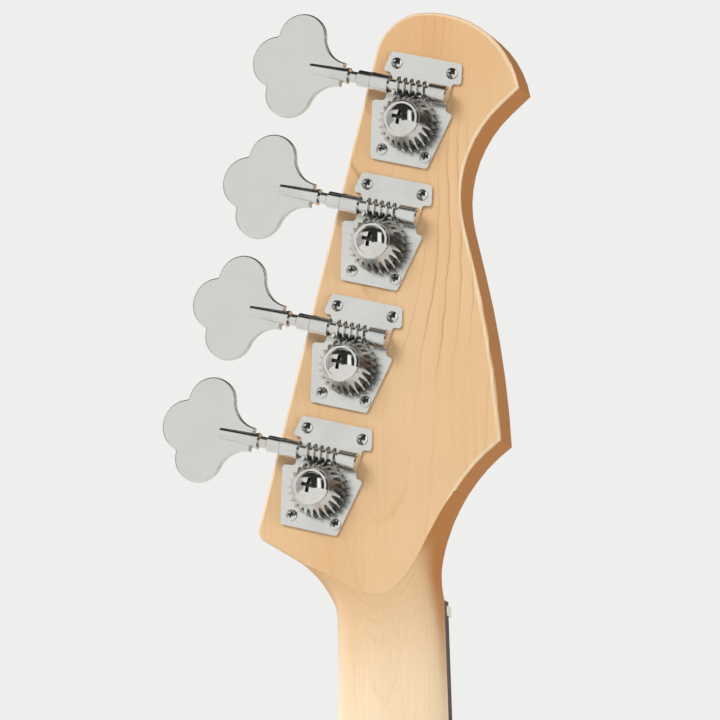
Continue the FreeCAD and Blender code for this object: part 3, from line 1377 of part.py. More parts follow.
body_tools = round_holes("guard_screw_hole", guard_screw_spots, "guard_screw_dia", "guard_screw_length",
                         front_y, BACK)
body_tools += round_holes("pickup_screw_hole", pickup_screw_spots, "pickup_screw_dia", "pickup_screw_grip",
                          rout_y, BACK)
body_tools += round_holes("bridge_screw_hole", bridge_screw_spots(), "bridge_screw_dia",
                          "bridge_screw_length", front_y, BACK)
body_tools += neck_screw_holes("body", sheet.body_thick - sheet.pocket_depth)
for place in button_places:
    seat = rod("button_seat", "button_base_dia + 2 * seat_gap", "body_round", ORIGIN, UP)
    hole = rod("button_screw_hole", "button_screw_dia + 2 * running_gap", "button_screw_length + cut_overrun",
               DOWN * sheet.button_screw_length, UP)
    body_tools.append(at_place("button_room", fused("button_seat_and_hole", [seat, hole]), place))
keep("body", cut("body", bass_body(), body_tools))

# Strap buttons and their screws
button = turned("strap_button", (
    ("button_screw_dia / 2 + screw_gap", "0"), ("button_base_dia / 2", "0"),
    ("button_base_dia / 2", "button_base / 2"), ("button_waist_dia / 2", "button_base"),
    ("button_waist_dia / 2", f"button_base + button_waist * {BUTTON_WAIST_SHARE}"),
    ("button_head_dia / 2", "button_base + button_waist"),
    ("button_head_dia / 2", "button_base + button_waist + button_head / 2"),
    ("button_head_dia / 2 - button_head / 2", BUTTON_TOP), ("button_screw_dia / 2 + screw_gap", BUTTON_TOP)))
keep("strap_buttons", copies("strap_buttons", button, button_places))
button_screw = screw("strap_button_screw", "button_screw_head", "button_screw_rise", "button_screw_dia",
                     f"{BUTTON_TOP} + button_screw_length - screw_gap", "neck_recess_width", "recess_depth")
button_lift = Placement(UP * size(BUTTON_TOP), Rotation())
keep("strap_button_screws", copies("strap_button_screws", button_screw,
                                   [place * button_lift for place in button_places]))

# Neck plate and its four screws
neck_plate, sketch = padded("neck_plate", "XZ_Plane", "neck_plate_thick",
                            Placement(BACK * (rear_y + sheet.neck_plate_thick), Rotation()))
plate_middle = (heel_z + mouth_z) / 2
half_wide, half_tall = sheet.neck_plate_width / 2, sheet.neck_plate_height / 2
draw(sketch, closed([Vector(half_wide * across, plate_middle + half_tall * up, 0) for across, up in SQUARE]))
for spot in neck_screw_spots():
    draw_circle(sketch, spot, "neck_screw_dia + 2 * screw_gap")
rounded(neck_plate, "neck_plate_corners", "neck_plate_round",
        lambda edge: edge.Curve.TypeId == "Part::GeomLine"
        and edge.BoundBox.YLength > sheet.neck_plate_thick / 2)
keep("neck_plate", neck_plate)
neck_screw = screw("neck_screw", "neck_screw_head", "neck_screw_head_rise", "neck_screw_dia",
                   "neck_screw_length", "neck_recess_width", "neck_recess_depth")
keep("neck_screws", copies("neck_screws", neck_screw,
                           [facing(from_front(spot, rear_y + sheet.neck_plate_thick), BACK)
                            for spot in neck_screw_spots()]))


# Pickguard: a flat sheet cut out round the neck, the pickups, the controls and its screws
def cover_corners(spot, gap):
    """Outline of a pickup cover with its two ears, widened by a gap."""
    half_wide = size("cover_width / 2") + gap
    half_tall = size("cover_height / 2") + gap
    reach = size(cover_reach) + gap
    ear = size("ear_height / 2") + gap
    quarter = ((reach, ear), (half_wide, ear), (half_wide, half_tall))
    corners = [Vector(across, up, 0) for across, up in quarter]
    corners += [Vector(-across, up, 0) for across, up in reversed(quarter)]
    corners += [Vector(-across, -up, 0) for across, up in quarter]
    corners += [Vector(across, -up, 0) for across, up in reversed(quarter)]
    return [spot + corner for corner in corners]


guard, sketch = padded("pickguard", "XZ_Plane", "guard_thick", Placement(BACK * front_y, Rotation()))
edge_spots = [on_body(share) for share in GUARD_SHARES]
edge = Part.BSplineCurve()
edge.interpolate(edge_spots)
neck_gap = sheet.guard_gap
notch_low = heel_z - neck_gap
first, last = edge_spots[0], edge_spots[-1]
low_half = neck_half(notch_low) + neck_gap
notch = [last, Vector(-neck_half(last.y) - neck_gap, last.y, 0), Vector(-low_half, notch_low, 0),
         Vector(low_half, notch_low, 0), Vector(neck_half(first.y) + neck_gap, first.y, 0), first]
draw(sketch, [edge] + [Part.LineSegment(start, end) for start, end in zip(notch, notch[1:])])
for spot in pickup_spots:
    draw(sketch, closed(cover_corners(spot, sheet.guard_gap)))
for spot in (volume_spot, tone_spot, jack_spot):
    draw_circle(sketch, spot, "pot_collar_dia + 2 * seat_gap")
for spot in guard_screw_spots:
    draw_circle(sketch, spot, "guard_screw_dia + 2 * screw_gap")
keep("pickguard", guard)
guard_screw = screw("pickguard_screw", "guard_screw_head", "guard_screw_rise", "guard_screw_dia",
                    "guard_thick + guard_screw_length", "recess_width", "recess_depth")
keep("pickguard_screws", copies("pickguard_screws", guard_screw,
                                [facing(from_front(spot, guard_y), FRONT) for spot in guard_screw_spots]))


# Pickups: two halves, each a hollow cover with ears over a coil with its pole pieces
def pole_spots(number):
    """Places of the pole pieces of one half, two beside each string."""
    spots = []
    for index in pickup_strings[number]:
        middle = string_x(index, pickup_spots[number].y)
        for pole in range(POLES_PER_STRING):
            offset = (pole - (POLES_PER_STRING - 1) / 2) * sheet.pole_pitch
            spots.append(Vector(middle + offset, pickup_spots[number].y, 0))
    return spots


def pickup_half(number, part):
    """Name of a piece of one pickup half."""
    return f"{part}_{('bass', 'treble')[number]}"


def upright_block(name, spot, wide, tall, low_y, high_y):
    """A block about a front-view spot, between two depths."""
    corner = Vector(spot.x - size(wide) / 2, low_y, spot.y - size(tall) / 2)
    return box(name, (wide, high_y - low_y, tall), corner)


def pole_rods(name, number, gap):
    """The pole pieces of one half, or their holes, from the coil's foot to above the cover."""
    length = rout_y - sheet.coil_lift - cover_top_y + sheet.pole_proud
    return [rod(name, f"pole_dia + 2 * {gap}", length, from_front(spot, rout_y - sheet.coil_lift), FRONT)
            for spot in pole_spots(number)]


covers, coils, poles = [], [], []
for number, spot in enumerate(pickup_spots):
    shell, sketch = padded(pickup_half(number, "cover"), "XZ_Plane", rout_y - cover_top_y,
                           Placement(BACK * rout_y, Rotation()))
    draw(sketch, closed([spot + Vector(across * sheet.cover_width / 2, up * sheet.cover_height / 2, 0)
                         for across, up in SQUARE]))
    rounded(shell, pickup_half(number, "cover_corners"), "cover_round",
            lambda edge: edge.BoundBox.YLength > sheet.cover_round)
    rounded(shell, pickup_half(number, "cover_top_edges"), "cover_wall",
            lambda edge: edge.BoundBox.YMax < cover_top_y - rout_y + sheet.cover_wall)
    ears = upright_block(pickup_half(number, "ears"), spot, f"2 * ({cover_reach})", "ear_height",
                         ear_y - sheet.ear_thick, ear_y)
    hollow = upright_block(pickup_half(number, "cover_room"), spot, "cover_width - 2 * cover_wall",
                           "cover_height - 2 * cover_wall", cover_top_y + sheet.cover_wall,
                           rout_y + sheet.cut_overrun)
    holes = pole_rods(pickup_half(number, "pole_hole"), number, "screw_gap")
    holes += round_holes(pickup_half(number, "ear_hole"), ear_spots(spot), "pickup_screw_dia + 2 * screw_gap",
                         "ear_thick + 2 * cut_overrun", ear_y - sheet.ear_thick, BACK)
    eared = fused(pickup_half(number, "cover_eared"), [shell, ears])
    cover = cut(pickup_half(number, "cover_hollow"), eared, [hollow])
    covers.append(cut(pickup_half(number, "cover_drilled"), cover, holes))
    bobbin = upright_block(pickup_half(number, "bobbin"), spot,
                           "cover_width - 2 * cover_wall - 2 * coil_inset",
                           "cover_height - 2 * cover_wall - 2 * coil_inset",
                           rout_y - sheet.coil_height, rout_y)
    coil_holes = pole_rods(pickup_half(number, "coil_hole"), number, "screw_gap")
    coils.append(cut(pickup_half(number, "coil"), bobbin, coil_holes))
    poles += pole_rods(pickup_half(number, "pole"), number, "0")
for name, solids in (("pickup_covers", covers), ("pickup_coils", coils), ("pickup_pole_pieces", poles)):
    group = doc.addObject("Part::Compound", name)
    group.Links = solids
    keep(name, group)
ear_top = ear_y - sheet.ear_thick
pickup_screw = screw("pickup_screw", "pickup_screw_head", "pickup_screw_rise", "pickup_screw_dia",
                     "pickup_rout + guard_thick + ear_lift + ear_thick + pickup_screw_grip",
                     "recess_width", "recess_depth")
keep("pickup_screws", copies("pickup_screws", pickup_screw,
                             [facing(from_front(spot, ear_top), FRONT) for spot in pickup_screw_spots]))

# Controls: pots under the guard, shafts through their collars, knobs on the shafts
shaft_top = "knob_hollow + pot_shaft_grip"
can_floor = "guard_thick + pot_can_height"
knob = turned("knob", (
    ("knob_hollow_dia / 2", "knob_lift"), ("knob_dia / 2", "knob_lift"),
    ("knob_dia / 2", "knob_height - knob_edge"), ("knob_dia / 2 - knob_edge", "knob_height"),
    ("0", "knob_height"), ("0", shaft_top), ("pot_shaft_dia / 2", shaft_top),
    ("pot_shaft_dia / 2", "knob_hollow"), ("knob_hollow_dia / 2", "knob_hollow")))
pot_shaft = turned("pot_shaft", (
    ("0", f"-({can_floor}) / 2"), ("pot_shaft_dia / 2", f"-({can_floor}) / 2"),
    ("pot_shaft_dia / 2", shaft_top), ("0", shaft_top)))
pot = turned("potentiometer", (
    ("0", f"-({can_floor})"), ("pot_can_dia / 2", f"-({can_floor})"), ("pot_can_dia / 2", "-guard_thick"),
    ("pot_collar_dia / 2", "-guard_thick"), ("pot_collar_dia / 2", "pot_collar_rise"),
    ("pot_shaft_dia / 2 + running_gap", "pot_collar_rise"),
    ("pot_shaft_dia / 2 + running_gap", f"-({can_floor}) / 2 - screw_gap"),
    ("0", f"-({can_floor}) / 2 - screw_gap")))
for name, spot in (("volume", volume_spot), ("tone", tone_spot)):
    place = facing(from_front(spot, guard_y), FRONT)
    keep(f"{name}_knob", at_place(f"{name}_knob", knob, place))
    keep(f"{name}_pot_shaft", at_place(f"{name}_pot_shaft", pot_shaft, place))
pot_places = [facing(from_front(spot, guard_y), FRONT) for spot in (volume_spot, tone_spot)]
keep("potentiometers", copies("potentiometers", pot, pot_places))
jack_place = facing(from_front(jack_spot, guard_y), FRONT)
cup_top = "guard_thick + jack_flange"
cup_end = f"{cup_top} + jack_cup_depth"
jack = turned("output_jack", (
    ("jack_bore_dia / 2", "jack_collar_rise"), ("pot_collar_dia / 2", "jack_collar_rise"),
    ("pot_collar_dia / 2", "-guard_thick"), ("jack_flange_dia / 2", "-guard_thick"),
    ("jack_flange_dia / 2", f"-({cup_top})"), ("jack_cup_dia / 2", f"-({cup_top})"),
    ("jack_cup_dia / 2", f"-({cup_end})"), ("0", f"-({cup_end})"), ("0", f"-({cup_end}) + jack_cup_floor"),
    ("jack_cup_bore / 2", f"-({cup_end}) + jack_cup_floor"), ("jack_cup_bore / 2", f"-({cup_top})"),
    ("jack_bore_dia / 2", f"-({cup_top})")), jack_place)
keep("output_jack", jack)
hex_nut, sketch = padded("panel_nut", "XY_Plane", "panel_nut_thick")
hex_turns = [2 * math.pi * side / HEX_SIDES for side in range(HEX_SIDES)]
hex_radius = sheet.panel_nut_dia / 2
draw(sketch, closed([Vector(math.cos(turn), math.sin(turn), 0) * hex_radius for turn in hex_turns]))
draw_circle(sketch, ORIGIN, "pot_collar_dia")
keep("panel_nuts", copies("panel_nuts", hex_nut, pot_places + [jack_place]))

# Bridge: a bent plate whose flange takes the ball ends and the intonation screws
saddle_y = string_bottom(sheet.saddle_line) + size("seat_gap + saddle_dia / 2 - saddle_groove")
screw_y = saddle_y + sheet.intonation_drop
exit_y = bridge_y - sheet.string_exit
flange_inner = bridge_low + sheet.bridge_thick


def screw_side(index):
    """Side of a saddle's intonation screw, beside its string."""
    return string_side(index, sheet.bridge_pitch) - sheet.screw_offset


base_plate = box("bridge_base", ("bridge_width", "bridge_thick", "bridge_length"),
                 Vector(-sheet.bridge_width / 2, bridge_y, bridge_low))
flange = box("bridge_flange", ("bridge_width", "flange_height", "bridge_thick"),
             Vector(-sheet.bridge_width / 2, front_y - sheet.flange_height, bridge_low))
bridge_tools = round_holes("bridge_plate_hole", bridge_screw_spots(), "bridge_screw_dia + 2 * screw_gap",
                           "bridge_thick + 2 * cut_overrun", bridge_y, BACK)
for index, name in enumerate(STRINGS):
    low = bridge_low - sheet.cut_overrun
    through = "bridge_thick + 2 * cut_overrun"
    bridge_tools.append(rod(f"string_hole_{name}", f"gauge_{name} + 2 * string_hole_gap", through,
                            Vector(string_side(index, sheet.bridge_pitch), exit_y, low), UP))
    bridge_tools.append(rod(f"intonation_hole_{name}", "intonation_dia + 2 * running_gap", through,
                            Vector(screw_side(index), screw_y, low), UP))
keep("bridge_plate", cut("bridge_plate", fused("bridge_bent", [base_plate, flange]), bridge_tools))
bridge_screw = screw("bridge_screw", "bridge_screw_head", "bridge_screw_rise", "bridge_screw_dia",
                     "bridge_thick + bridge_screw_length", "recess_width", "recess_depth")
keep("bridge_screws", copies("bridge_screws", bridge_screw,
                             [facing(from_front(spot, bridge_y), FRONT) for spot in bridge_screw_spots()]))

# Saddles: a grooved barrel on two height screws, moved by a long screw through the flange
intonation = turned("intonation_screw", (
    ("0", "-intonation_head_thick"), (f"intonation_head * {BEVEL_SHARES[0]}", "-intonation_head_thick"),
    ("intonation_head / 2", f"-intonation_head_thick * {BEVEL_SHARES[1]}"), ("intonation_head / 2", "0"),
    ("intonation_dia / 2", "0"), ("intonation_dia / 2", "bridge_length - bridge_lead + intonation_tail"),
    ("0", "bridge_length - bridge_lead + intonation_tail")))
intonation_slot = box("intonation_slot",
                      ("2 * intonation_head", "recess_width", "recess_depth + cut_overrun"),
                      Vector(-sheet.intonation_head, -sheet.recess_width / 2,
                             -size("intonation_head_thick + cut_overrun")))
intonation_master = cut("intonation_slotted", intonation, [intonation_slot])
for index, name in enumerate(STRINGS):
    side = string_side(index, sheet.bridge_pitch)
    groove = f"gauge_{name} / 2 + seat_gap"
    floor = "saddle_dia / 2 - saddle_groove"
    barrel = turned(f"saddle_barrel_{name}", (
        ("0", "-saddle_width / 2"), ("saddle_dia / 2", "-saddle_width / 2"),
        ("saddle_dia / 2", f"-({groove}) - groove_flare / 2"), (floor, f"-({groove})"), (floor, groove),
        ("saddle_dia / 2", f"{groove} + groove_flare / 2"), ("saddle_dia / 2", "saddle_width / 2"),
        ("0", "saddle_width / 2")), facing(Vector(side, saddle_y, sheet.saddle_line), BASS))
    tools = [rod(f"saddle_bore_{name}", "intonation_dia + 2 * running_gap", "2 * saddle_dia",
                 Vector(screw_side(index), screw_y, sheet.saddle_line - sheet.saddle_dia), UP)]
    feet = []
    for end in (1, -1):
        middle = Vector(side + end * sheet.height_screw_side, saddle_y, sheet.saddle_line)
        tools.append(rod(f"height_hole_{name}", "height_screw_dia + 2 * running_gap", "2 * saddle_dia",
                         middle + BACK * sheet.saddle_dia, FRONT))
        head_y = saddle_y - sheet.saddle_dia / 2 + sheet.height_screw_inset
        length = bridge_y - sheet.height_screw_foot - head_y
        feet.append(rod(f"height_screw_{name}", "height_screw_dia", length,
                        Vector(middle.x, head_y, middle.z), BACK))
    saddle = doc.addObject("Part::Compound", f"saddle_{name}")
    saddle.Links = [cut(f"saddle_drilled_{name}", barrel, tools)] + feet
    keep(f"saddle_{name}", saddle)
    screw_place = Placement(Vector(screw_side(index), screw_y, bridge_low), Rotation())
    keep(f"intonation_screw_{name}", at_place(f"intonation_screw_{name}", intonation_master, screw_place))


# Tubes: straight runs and tangent arcs, and turns made of arcs that touch
class Helix:
    """A helix about an axis, climbing by pitch each turn, from a start angle in a given sense."""

    def __init__(self, centre, frame, radius, pitch, start_angle, sense):
        self.centre = centre
        self.across, self.upward, self.axis = frame
        self.radius = radius
        self.pitch = pitch
        self.start_angle = start_angle
        self.sense = sense

    def angle(self, turn):
        """Angle about the axis after some turns."""
        return self.start_angle + self.sense * 2 * math.pi * turn

    def spot(self, turn):
        """Place on the helix after some turns."""
        around = self.across * math.cos(self.angle(turn)) + self.upward * math.sin(self.angle(turn))
        return self.centre + around * self.radius + self.axis * (self.pitch * turn)

    def heading(self, turn):
        """Direction of the helix after some turns."""
        around = self.upward * math.cos(self.angle(turn)) - self.across * math.sin(self.angle(turn))
        return (around * (self.sense * 2 * math.pi * self.radius) + self.axis * self.pitch).normalize()

    def arcs(self, first, last):
        """Arcs of a quarter turn each, from one turn to another."""
        count = math.ceil((last - first) * QUARTERS_PER_TURN)
        stops = [first + (last - first) * step / count for step in range(count + 1)]
        made = []
        for low, high in zip(stops, stops[1:]):
            made += biarc(self.spot(low), self.heading(low), self.spot(high), self.heading(high))
        return made

    def least_gap(self, first, last, wire):
        """Least gap between a tube on the helix and itself, measured on points half a turn or more apart."""
        count = math.ceil((last - first) * GAP_POINTS_PER_TURN)
        spots = [self.spot(first + (last - first) * step / count) for step in range(count + 1)]
        apart = GAP_POINTS_PER_TURN // 2
        return min((spots[far] - spots[near]).Length for near in range(len(spots))
                   for far in range(near + apart, len(spots))) - wire


def tube(name, curves, diameter):
    """A round tube along a path, checked against its section times its length."""
    path = Part.Wire([curve.toShape() for curve in curves])
    start = curves[0].FirstParameter
    ring = Part.Circle(curves[0].value(start), curves[0].tangent(start)[0], diameter / 2)
    section = Part.Wire([ring.toShape()])
    made = path.makePipeShell([section], True, False)
    checked_volume(name, made, math.pi * diameter ** 2 / 4 * path.Length)
    return made


def straight_runs(spots, radii):
    """Straight runs through spots, with a tangent arc of the given radius at each inner spot."""
    made = []
    here = spots[0]
    for before, corner, after, radius in zip(spots, spots[1:], spots[2:], radii):
        start, arc, end = rounded_corner(before, corner, after, radius)
        made += [Part.LineSegment(here, start), arc]
        here = end
    return made + [Part.LineSegment(here, spots[-1])]


# Saddle springs on their screws, between the flange and the saddles
spring_radius = size("intonation_dia / 2 + spring_gap + spring_wire / 2")
spring_low = flange_inner + size("spring_wire / 2 + spring_gap")
spring_high = sheet.saddle_line - size("saddle_dia / 2 + spring_wire / 2 + spring_gap")
spring_turns = (spring_high - spring_low) / sheet.spring_pitch
springs = []
for index, name in enumerate(STRINGS):
    coil = Helix(Vector(screw_side(index), screw_y, spring_low), (BASS, BACK, UP), spring_radius,
                 sheet.spring_pitch, 0, 1)
    spring = doc.addObject("Part::Feature", f"saddle_spring_{name}")
    spring.Shape = tube(f"saddle_spring_{name}", coil.arcs(0, spring_turns), sheet.spring_wire)
    springs.append(spring)
    print(f"saddle_spring_{name}: gap {coil.least_gap(0, spring_turns, sheet.spring_wire):.2f}")
group = doc.addObject("Part::Compound", "saddle_springs")
group.Links = springs
keep("saddle_springs", group)


# Strings: from the ball end through the flange, over saddle and nut, and round the post
def bass_string(index):
    """One string with its ball end and its windings, as one solid."""
    name = STRINGS[index]
    gauge = gauges[index]
    side = string_side(index, sheet.bridge_pitch)
    kink_z = sheet.saddle_line - sheet.string_kink
    nut_end = nut_z + sheet.nut_thick + sheet.nut_bend * math.tan(math.radians(NUT_BREAK / 2))
    spots = [Vector(side, exit_y, bridge_low - sheet.ball_length / 2),
             Vector(side, exit_y, flange_inner + sheet.exit_lead),
             Vector(side, string_bottom(kink_z) - gauge / 2, kink_z),
             Vector(string_x(index, nut_end), string_bottom(nut_end) - gauge / 2, nut_end)]
    radii = [sheet.exit_bend, sheet.saddle_bend, sheet.nut_bend]
    axis = posts[index]
    radius = size("post_waist_dia / 2 + string_gap") + gauge / 2
    wind_y = face_y - size("post_reach - post_head_length - post_waist_length + string_gap") - gauge / 2
    span = Vector(axis.x - spots[-1].x, 0, axis.z - spots[-1].z)
    aim = math.atan2(span.z, span.x) + math.asin(radius / span.Length)
    touch_angle = aim + math.pi / 2
    reach = math.sqrt(span.Length ** 2 - radius ** 2)
    touch = Vector(spots[-1].x + reach * math.cos(aim), wind_y, spots[-1].z + reach * math.sin(aim))
    if name in TREE_STRINGS:
        share = (tree_spot.z - spots[-1].z) / (touch.z - spots[-1].z)
        under = spots[-1] + (touch - spots[-1]) * share
        under.y = face_y - size("tree_stand - string_gap") + gauge / 2
        spots.append(under)
        radii.append(sheet.tree_bend)
    coil = Helix(Vector(axis.x, wind_y, axis.z), (BASS, UP, FRONT), radius, gauge + sheet.wind_gap,
                 touch_angle, -1)
    approach = (touch - spots[-1]).normalize()
    spots.append(touch - approach * radius)
    curves = straight_runs(spots, radii)
    curves += biarc(spots[-1], approach, coil.spot(LEAD_TURN_SHARE), coil.heading(LEAD_TURN_SHARE))
    curves += coil.arcs(LEAD_TURN_SHARE, WIND_TURNS)
    made = doc.addObject("Part::Feature", f"string_{name}_wire")
    made.Shape = tube(f"string_{name}", curves, gauge)
    print(f"string_{name}: winding gap {coil.least_gap(0, WIND_TURNS, gauge):.2f}")
    ball = rod(f"ball_{name}", "ball_dia", "ball_length",
               Vector(side, exit_y, bridge_low - sheet.ball_length), UP)
    return fused(f"string_{name}", [made, ball])


for index, name in enumerate(STRINGS):
    keep(f"string_{name}", bass_string(index))

# Check every object, then write each sub-part
doc.recompute()
for made in doc.Objects:
    if "Invalid" in made.State or "Error" in made.State:
        raise RuntimeError(f"{made.Label}: {made.State}")
shapes = {name: Part.getShape(made) for name, made in subparts.items()}
for name, shape in shapes.items():
    if shape.isNull() or not shape.isValid() or not shape.Solids:
        raise RuntimeError(f"{name}: no valid solid")
os.makedirs("parts", exist_ok=True)
for name, shape in shapes.items():
    shape.exportStep(f"parts/{name}.step")
print(f"{len(shapes)} sub-parts, {sum(len(shape.Solids) for shape in shapes.values())} solids")
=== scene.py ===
"""Looks for a four-string electric bass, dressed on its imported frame. All lengths are in metres.

+Z runs up the neck, the strings face -Y, the back faces +Y and the tuner keys stand on the +X side.
"""

import logging
import math
from abc import ABC, abstractmethod
from dataclasses import dataclass, field
from enum import Enum
from typing import Any, Optional, Union

import bpy
from mathutils import Matrix, Vector


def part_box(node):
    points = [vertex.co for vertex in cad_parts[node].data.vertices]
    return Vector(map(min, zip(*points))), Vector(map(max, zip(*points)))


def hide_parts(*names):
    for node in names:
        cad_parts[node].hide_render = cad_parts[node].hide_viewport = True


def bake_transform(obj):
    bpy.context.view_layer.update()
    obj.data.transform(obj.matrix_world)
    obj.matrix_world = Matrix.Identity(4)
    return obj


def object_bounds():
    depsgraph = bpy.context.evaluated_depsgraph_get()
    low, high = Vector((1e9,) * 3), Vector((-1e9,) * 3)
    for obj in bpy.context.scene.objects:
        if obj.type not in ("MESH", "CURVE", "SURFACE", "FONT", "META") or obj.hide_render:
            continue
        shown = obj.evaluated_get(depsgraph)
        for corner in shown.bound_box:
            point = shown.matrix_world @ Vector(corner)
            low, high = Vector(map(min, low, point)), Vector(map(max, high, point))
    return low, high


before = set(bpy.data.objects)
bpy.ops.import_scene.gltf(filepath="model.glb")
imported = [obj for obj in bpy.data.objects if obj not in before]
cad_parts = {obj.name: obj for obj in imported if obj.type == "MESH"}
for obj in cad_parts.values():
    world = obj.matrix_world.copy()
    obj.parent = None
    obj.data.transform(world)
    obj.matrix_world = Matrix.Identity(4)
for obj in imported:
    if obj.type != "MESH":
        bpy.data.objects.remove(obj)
CAD_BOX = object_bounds()
NODES: dict[str, bpy.types.Object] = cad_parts
STRING_NAMES = ("e", "a", "d", "g")
MM = 0.001
Colour = tuple[float, float, float]
Triple = tuple[float, float, float]
log = logging.getLogger("bass")


# ---------------------------------------------------------------------------------------------- shader maths
class Val:
    """A shader value that takes part in plain arithmetic; each operation adds a Math node."""

    def __init__(self, shader: "Tree", socket: bpy.types.NodeSocket) -> None:
        """Wrap a socket of a node tree."""
        self.shader = shader
        self.socket = socket

    def __add__(self, other: "Number") -> "Val":
        """Sum."""
        return self.shader.math("ADD", self, other)

    __radd__ = __add__

    def __sub__(self, other: "Number") -> "Val":
        """Difference."""
        return self.shader.math("SUBTRACT", self, other)

    def __rsub__(self, other: "Number") -> "Val":
        """Difference with a plain number in front."""
        return self.shader.math("SUBTRACT", other, self)

    def __mul__(self, other: "Number") -> "Val":
        """Product."""
        return self.shader.math("MULTIPLY", self, other)

    __rmul__ = __mul__

    def __truediv__(self, other: "Number") -> "Val":
        """Quotient."""
        return self.shader.math("DIVIDE", self, other)

    def __pow__(self, other: "Number") -> "Val":
        """Power."""
        return self.shader.math("POWER", self, other)

    def __abs__(self) -> "Val":
        """Size without sign."""
        return self.shader.math("ABSOLUTE", self)

    def step(self, low: float, high: float) -> "Val":
        """Ease from 0 at low to 1 at high.

        Args:
            low: value that gives 0.
            high: value that gives 1; it may be below low.
        Returns:
            The eased share.
        """
        up = low < high
        eased = self.shader.node(
            "ShaderNodeMapRange", {"interpolation_type": "SMOOTHSTEP"},
            {"Value": self, "From Min": low if up else high, "From Max": high if up else low})
        share = Val(self.shader, eased.outputs["Result"])
        return share if up else 1 - share


Number = Union[Val, float, int]
Link = Union[Val, bpy.types.NodeSocket, float, int, tuple]


class Tree:
    """A node tree with short ways to add nodes."""

    def __init__(self, owner: Union[bpy.types.Material, bpy.types.World], place: str) -> None:
        """Empty the owner's tree and start it with coordinates.

        Args:
            owner: the material or world.
            place: the coordinate output that says where a spot lies, or which way a ray goes.
        """
        owner.use_nodes = True
        self.tree = owner.node_tree
        self.tree.nodes.clear()
        coords = self.node("ShaderNodeTexCoord")
        self.spot = coords.outputs[place]
        self.facing = coords.outputs["Normal"]

    def node(self, kind: str, settings: Optional[dict[str, Any]] = None,
             inputs: Optional[dict[Union[str, int], Link]] = None) -> bpy.types.Node:
        """Add a node.

        Args:
            kind: the node's type.
            settings: its properties; "stops" fills a colour ramp with (place, colour) pairs.
            inputs: values or links for its sockets, by name or number.
        Returns:
            The node.
        """
        made = self.tree.nodes.new(kind)
        for name, setting in (settings or {}).items():
            if name == "stops":
                ramp = made.color_ramp
                while len(ramp.elements) < len(setting):
                    ramp.elements.new(1.0)
                for element, (place, colour) in zip(ramp.elements, setting):
                    element.position = place
                    element.color = (*colour, 1.0)
            else:
                setattr(made, name, setting)
        for key, link in (inputs or {}).items():
            self.feed(made.inputs[key], link)
        return made

    def feed(self, socket: bpy.types.NodeSocket, link: Link) -> None:
        """Set a socket from a value, a wrapped value or another node's socket."""
        if isinstance(link, Val):
            self.tree.links.new(link.socket, socket)
        elif isinstance(link, bpy.types.NodeSocket):
            self.tree.links.new(link, socket)
        elif isinstance(link, tuple) and socket.type == "RGBA":
            socket.default_value = (*link[:3], 1.0)
        else:
            socket.default_value = link

    def math(self, operation: str, *values: Number) -> Val:
        """Add a Math node over the values."""
        made = self.node("ShaderNodeMath", {"operation": operation}, dict(enumerate(values)))
        return Val(self, made.outputs[0])

    def axis(self, vector: bpy.types.NodeSocket, name: str) -> Val:
        """One component, X, Y or Z, of a vector."""
        return Val(self, self.node("ShaderNodeSeparateXYZ", None, {0: vector}).outputs[name])

    def along(self, direction: Triple, start: Triple = (0.0, 0.0, 0.0)) -> Val:
        """Distance of the surface spot from start along a direction."""
        offset = self.node("ShaderNodeVectorMath", {"operation": "SUBTRACT"}, {0: self.spot, 1: start})
        dot = self.node("ShaderNodeVectorMath", {"operation": "DOT_PRODUCT"}, {0: offset.outputs[0], 1: direction})
        return Val(self, dot.outputs["Value"])

    def from_axis(self, middle: Triple) -> Val:
        """Distance of the surface spot from a line through middle that runs from front to back."""
        flat = self.node("ShaderNodeVectorMath", {"operation": "MULTIPLY"}, {0: self.spot, 1: (1.0, 0.0, 1.0)})
        away = self.node("ShaderNodeVectorMath", {"operation": "DISTANCE"},
                         {0: flat.outputs[0], 1: (middle[0], 0.0, middle[2])})
        return Val(self, away.outputs["Value"])

    def mapped(self, scale: Triple, turn: Triple = (0.0, 0.0, 0.0)) -> bpy.types.NodeSocket:
        """The surface spot, turned and stretched by a Mapping node."""
        made = self.node("ShaderNodeMapping", None, {"Vector": self.spot, "Scale": scale, "Rotation": turn})
        return made.outputs[0]

    def noise(self, scale: float, detail: float = 2.0, vector: Optional[bpy.types.NodeSocket] = None,
              rough: float = 0.5) -> Val:
        """Soft noise from 0 to 1 over the surface.

        Args:
            scale: spots per metre, or per unit of the vector given.
            detail: how many finer layers are added.
            vector: a mapped spot; the surface spot if left out.
            rough: weight of the finer layers.
        Returns:
            The noise value.
        """
        made = self.node("ShaderNodeTexNoise", None, {
            "Vector": vector or self.spot, "Scale": scale, "Detail": detail, "Roughness": rough})
        return Val(self, made.outputs["Fac"])

    def blend(self, share: Number, first: Link, second: Link) -> bpy.types.NodeSocket:
        """Mix two colours by a share."""
        return self.node("ShaderNodeMix", {"data_type": "RGBA"}, {0: share, 6: first, 7: second}).outputs[2]

    def bump(self, height: Val, distance: float, strength: float = 1.0) -> bpy.types.NodeSocket:
        """A bumped normal from a height."""
        made = self.node("ShaderNodeBump", None, {"Height": height, "Distance": distance, "Strength": strength})
        return made.outputs[0]


class Shader(Tree):
    """One material's node tree, closed by a Principled surface."""

    def __init__(self, name: str) -> None:
        """Start a material of that name with an empty tree."""
        self.material = bpy.data.materials.new(name)
        super().__init__(self.material, "Object")

    def surface(self, **inputs: Link) -> bpy.types.Material:
        """Close the tree with a Principled surface; names use _ for the spaces of its sockets."""
        named = {name.replace("_", " "): link for name, link in inputs.items()}
        shader = self.node("ShaderNodeBsdfPrincipled", None, named)
        self.node("ShaderNodeOutputMaterial", None, {"Surface": shader.outputs[0]})
        return self.material


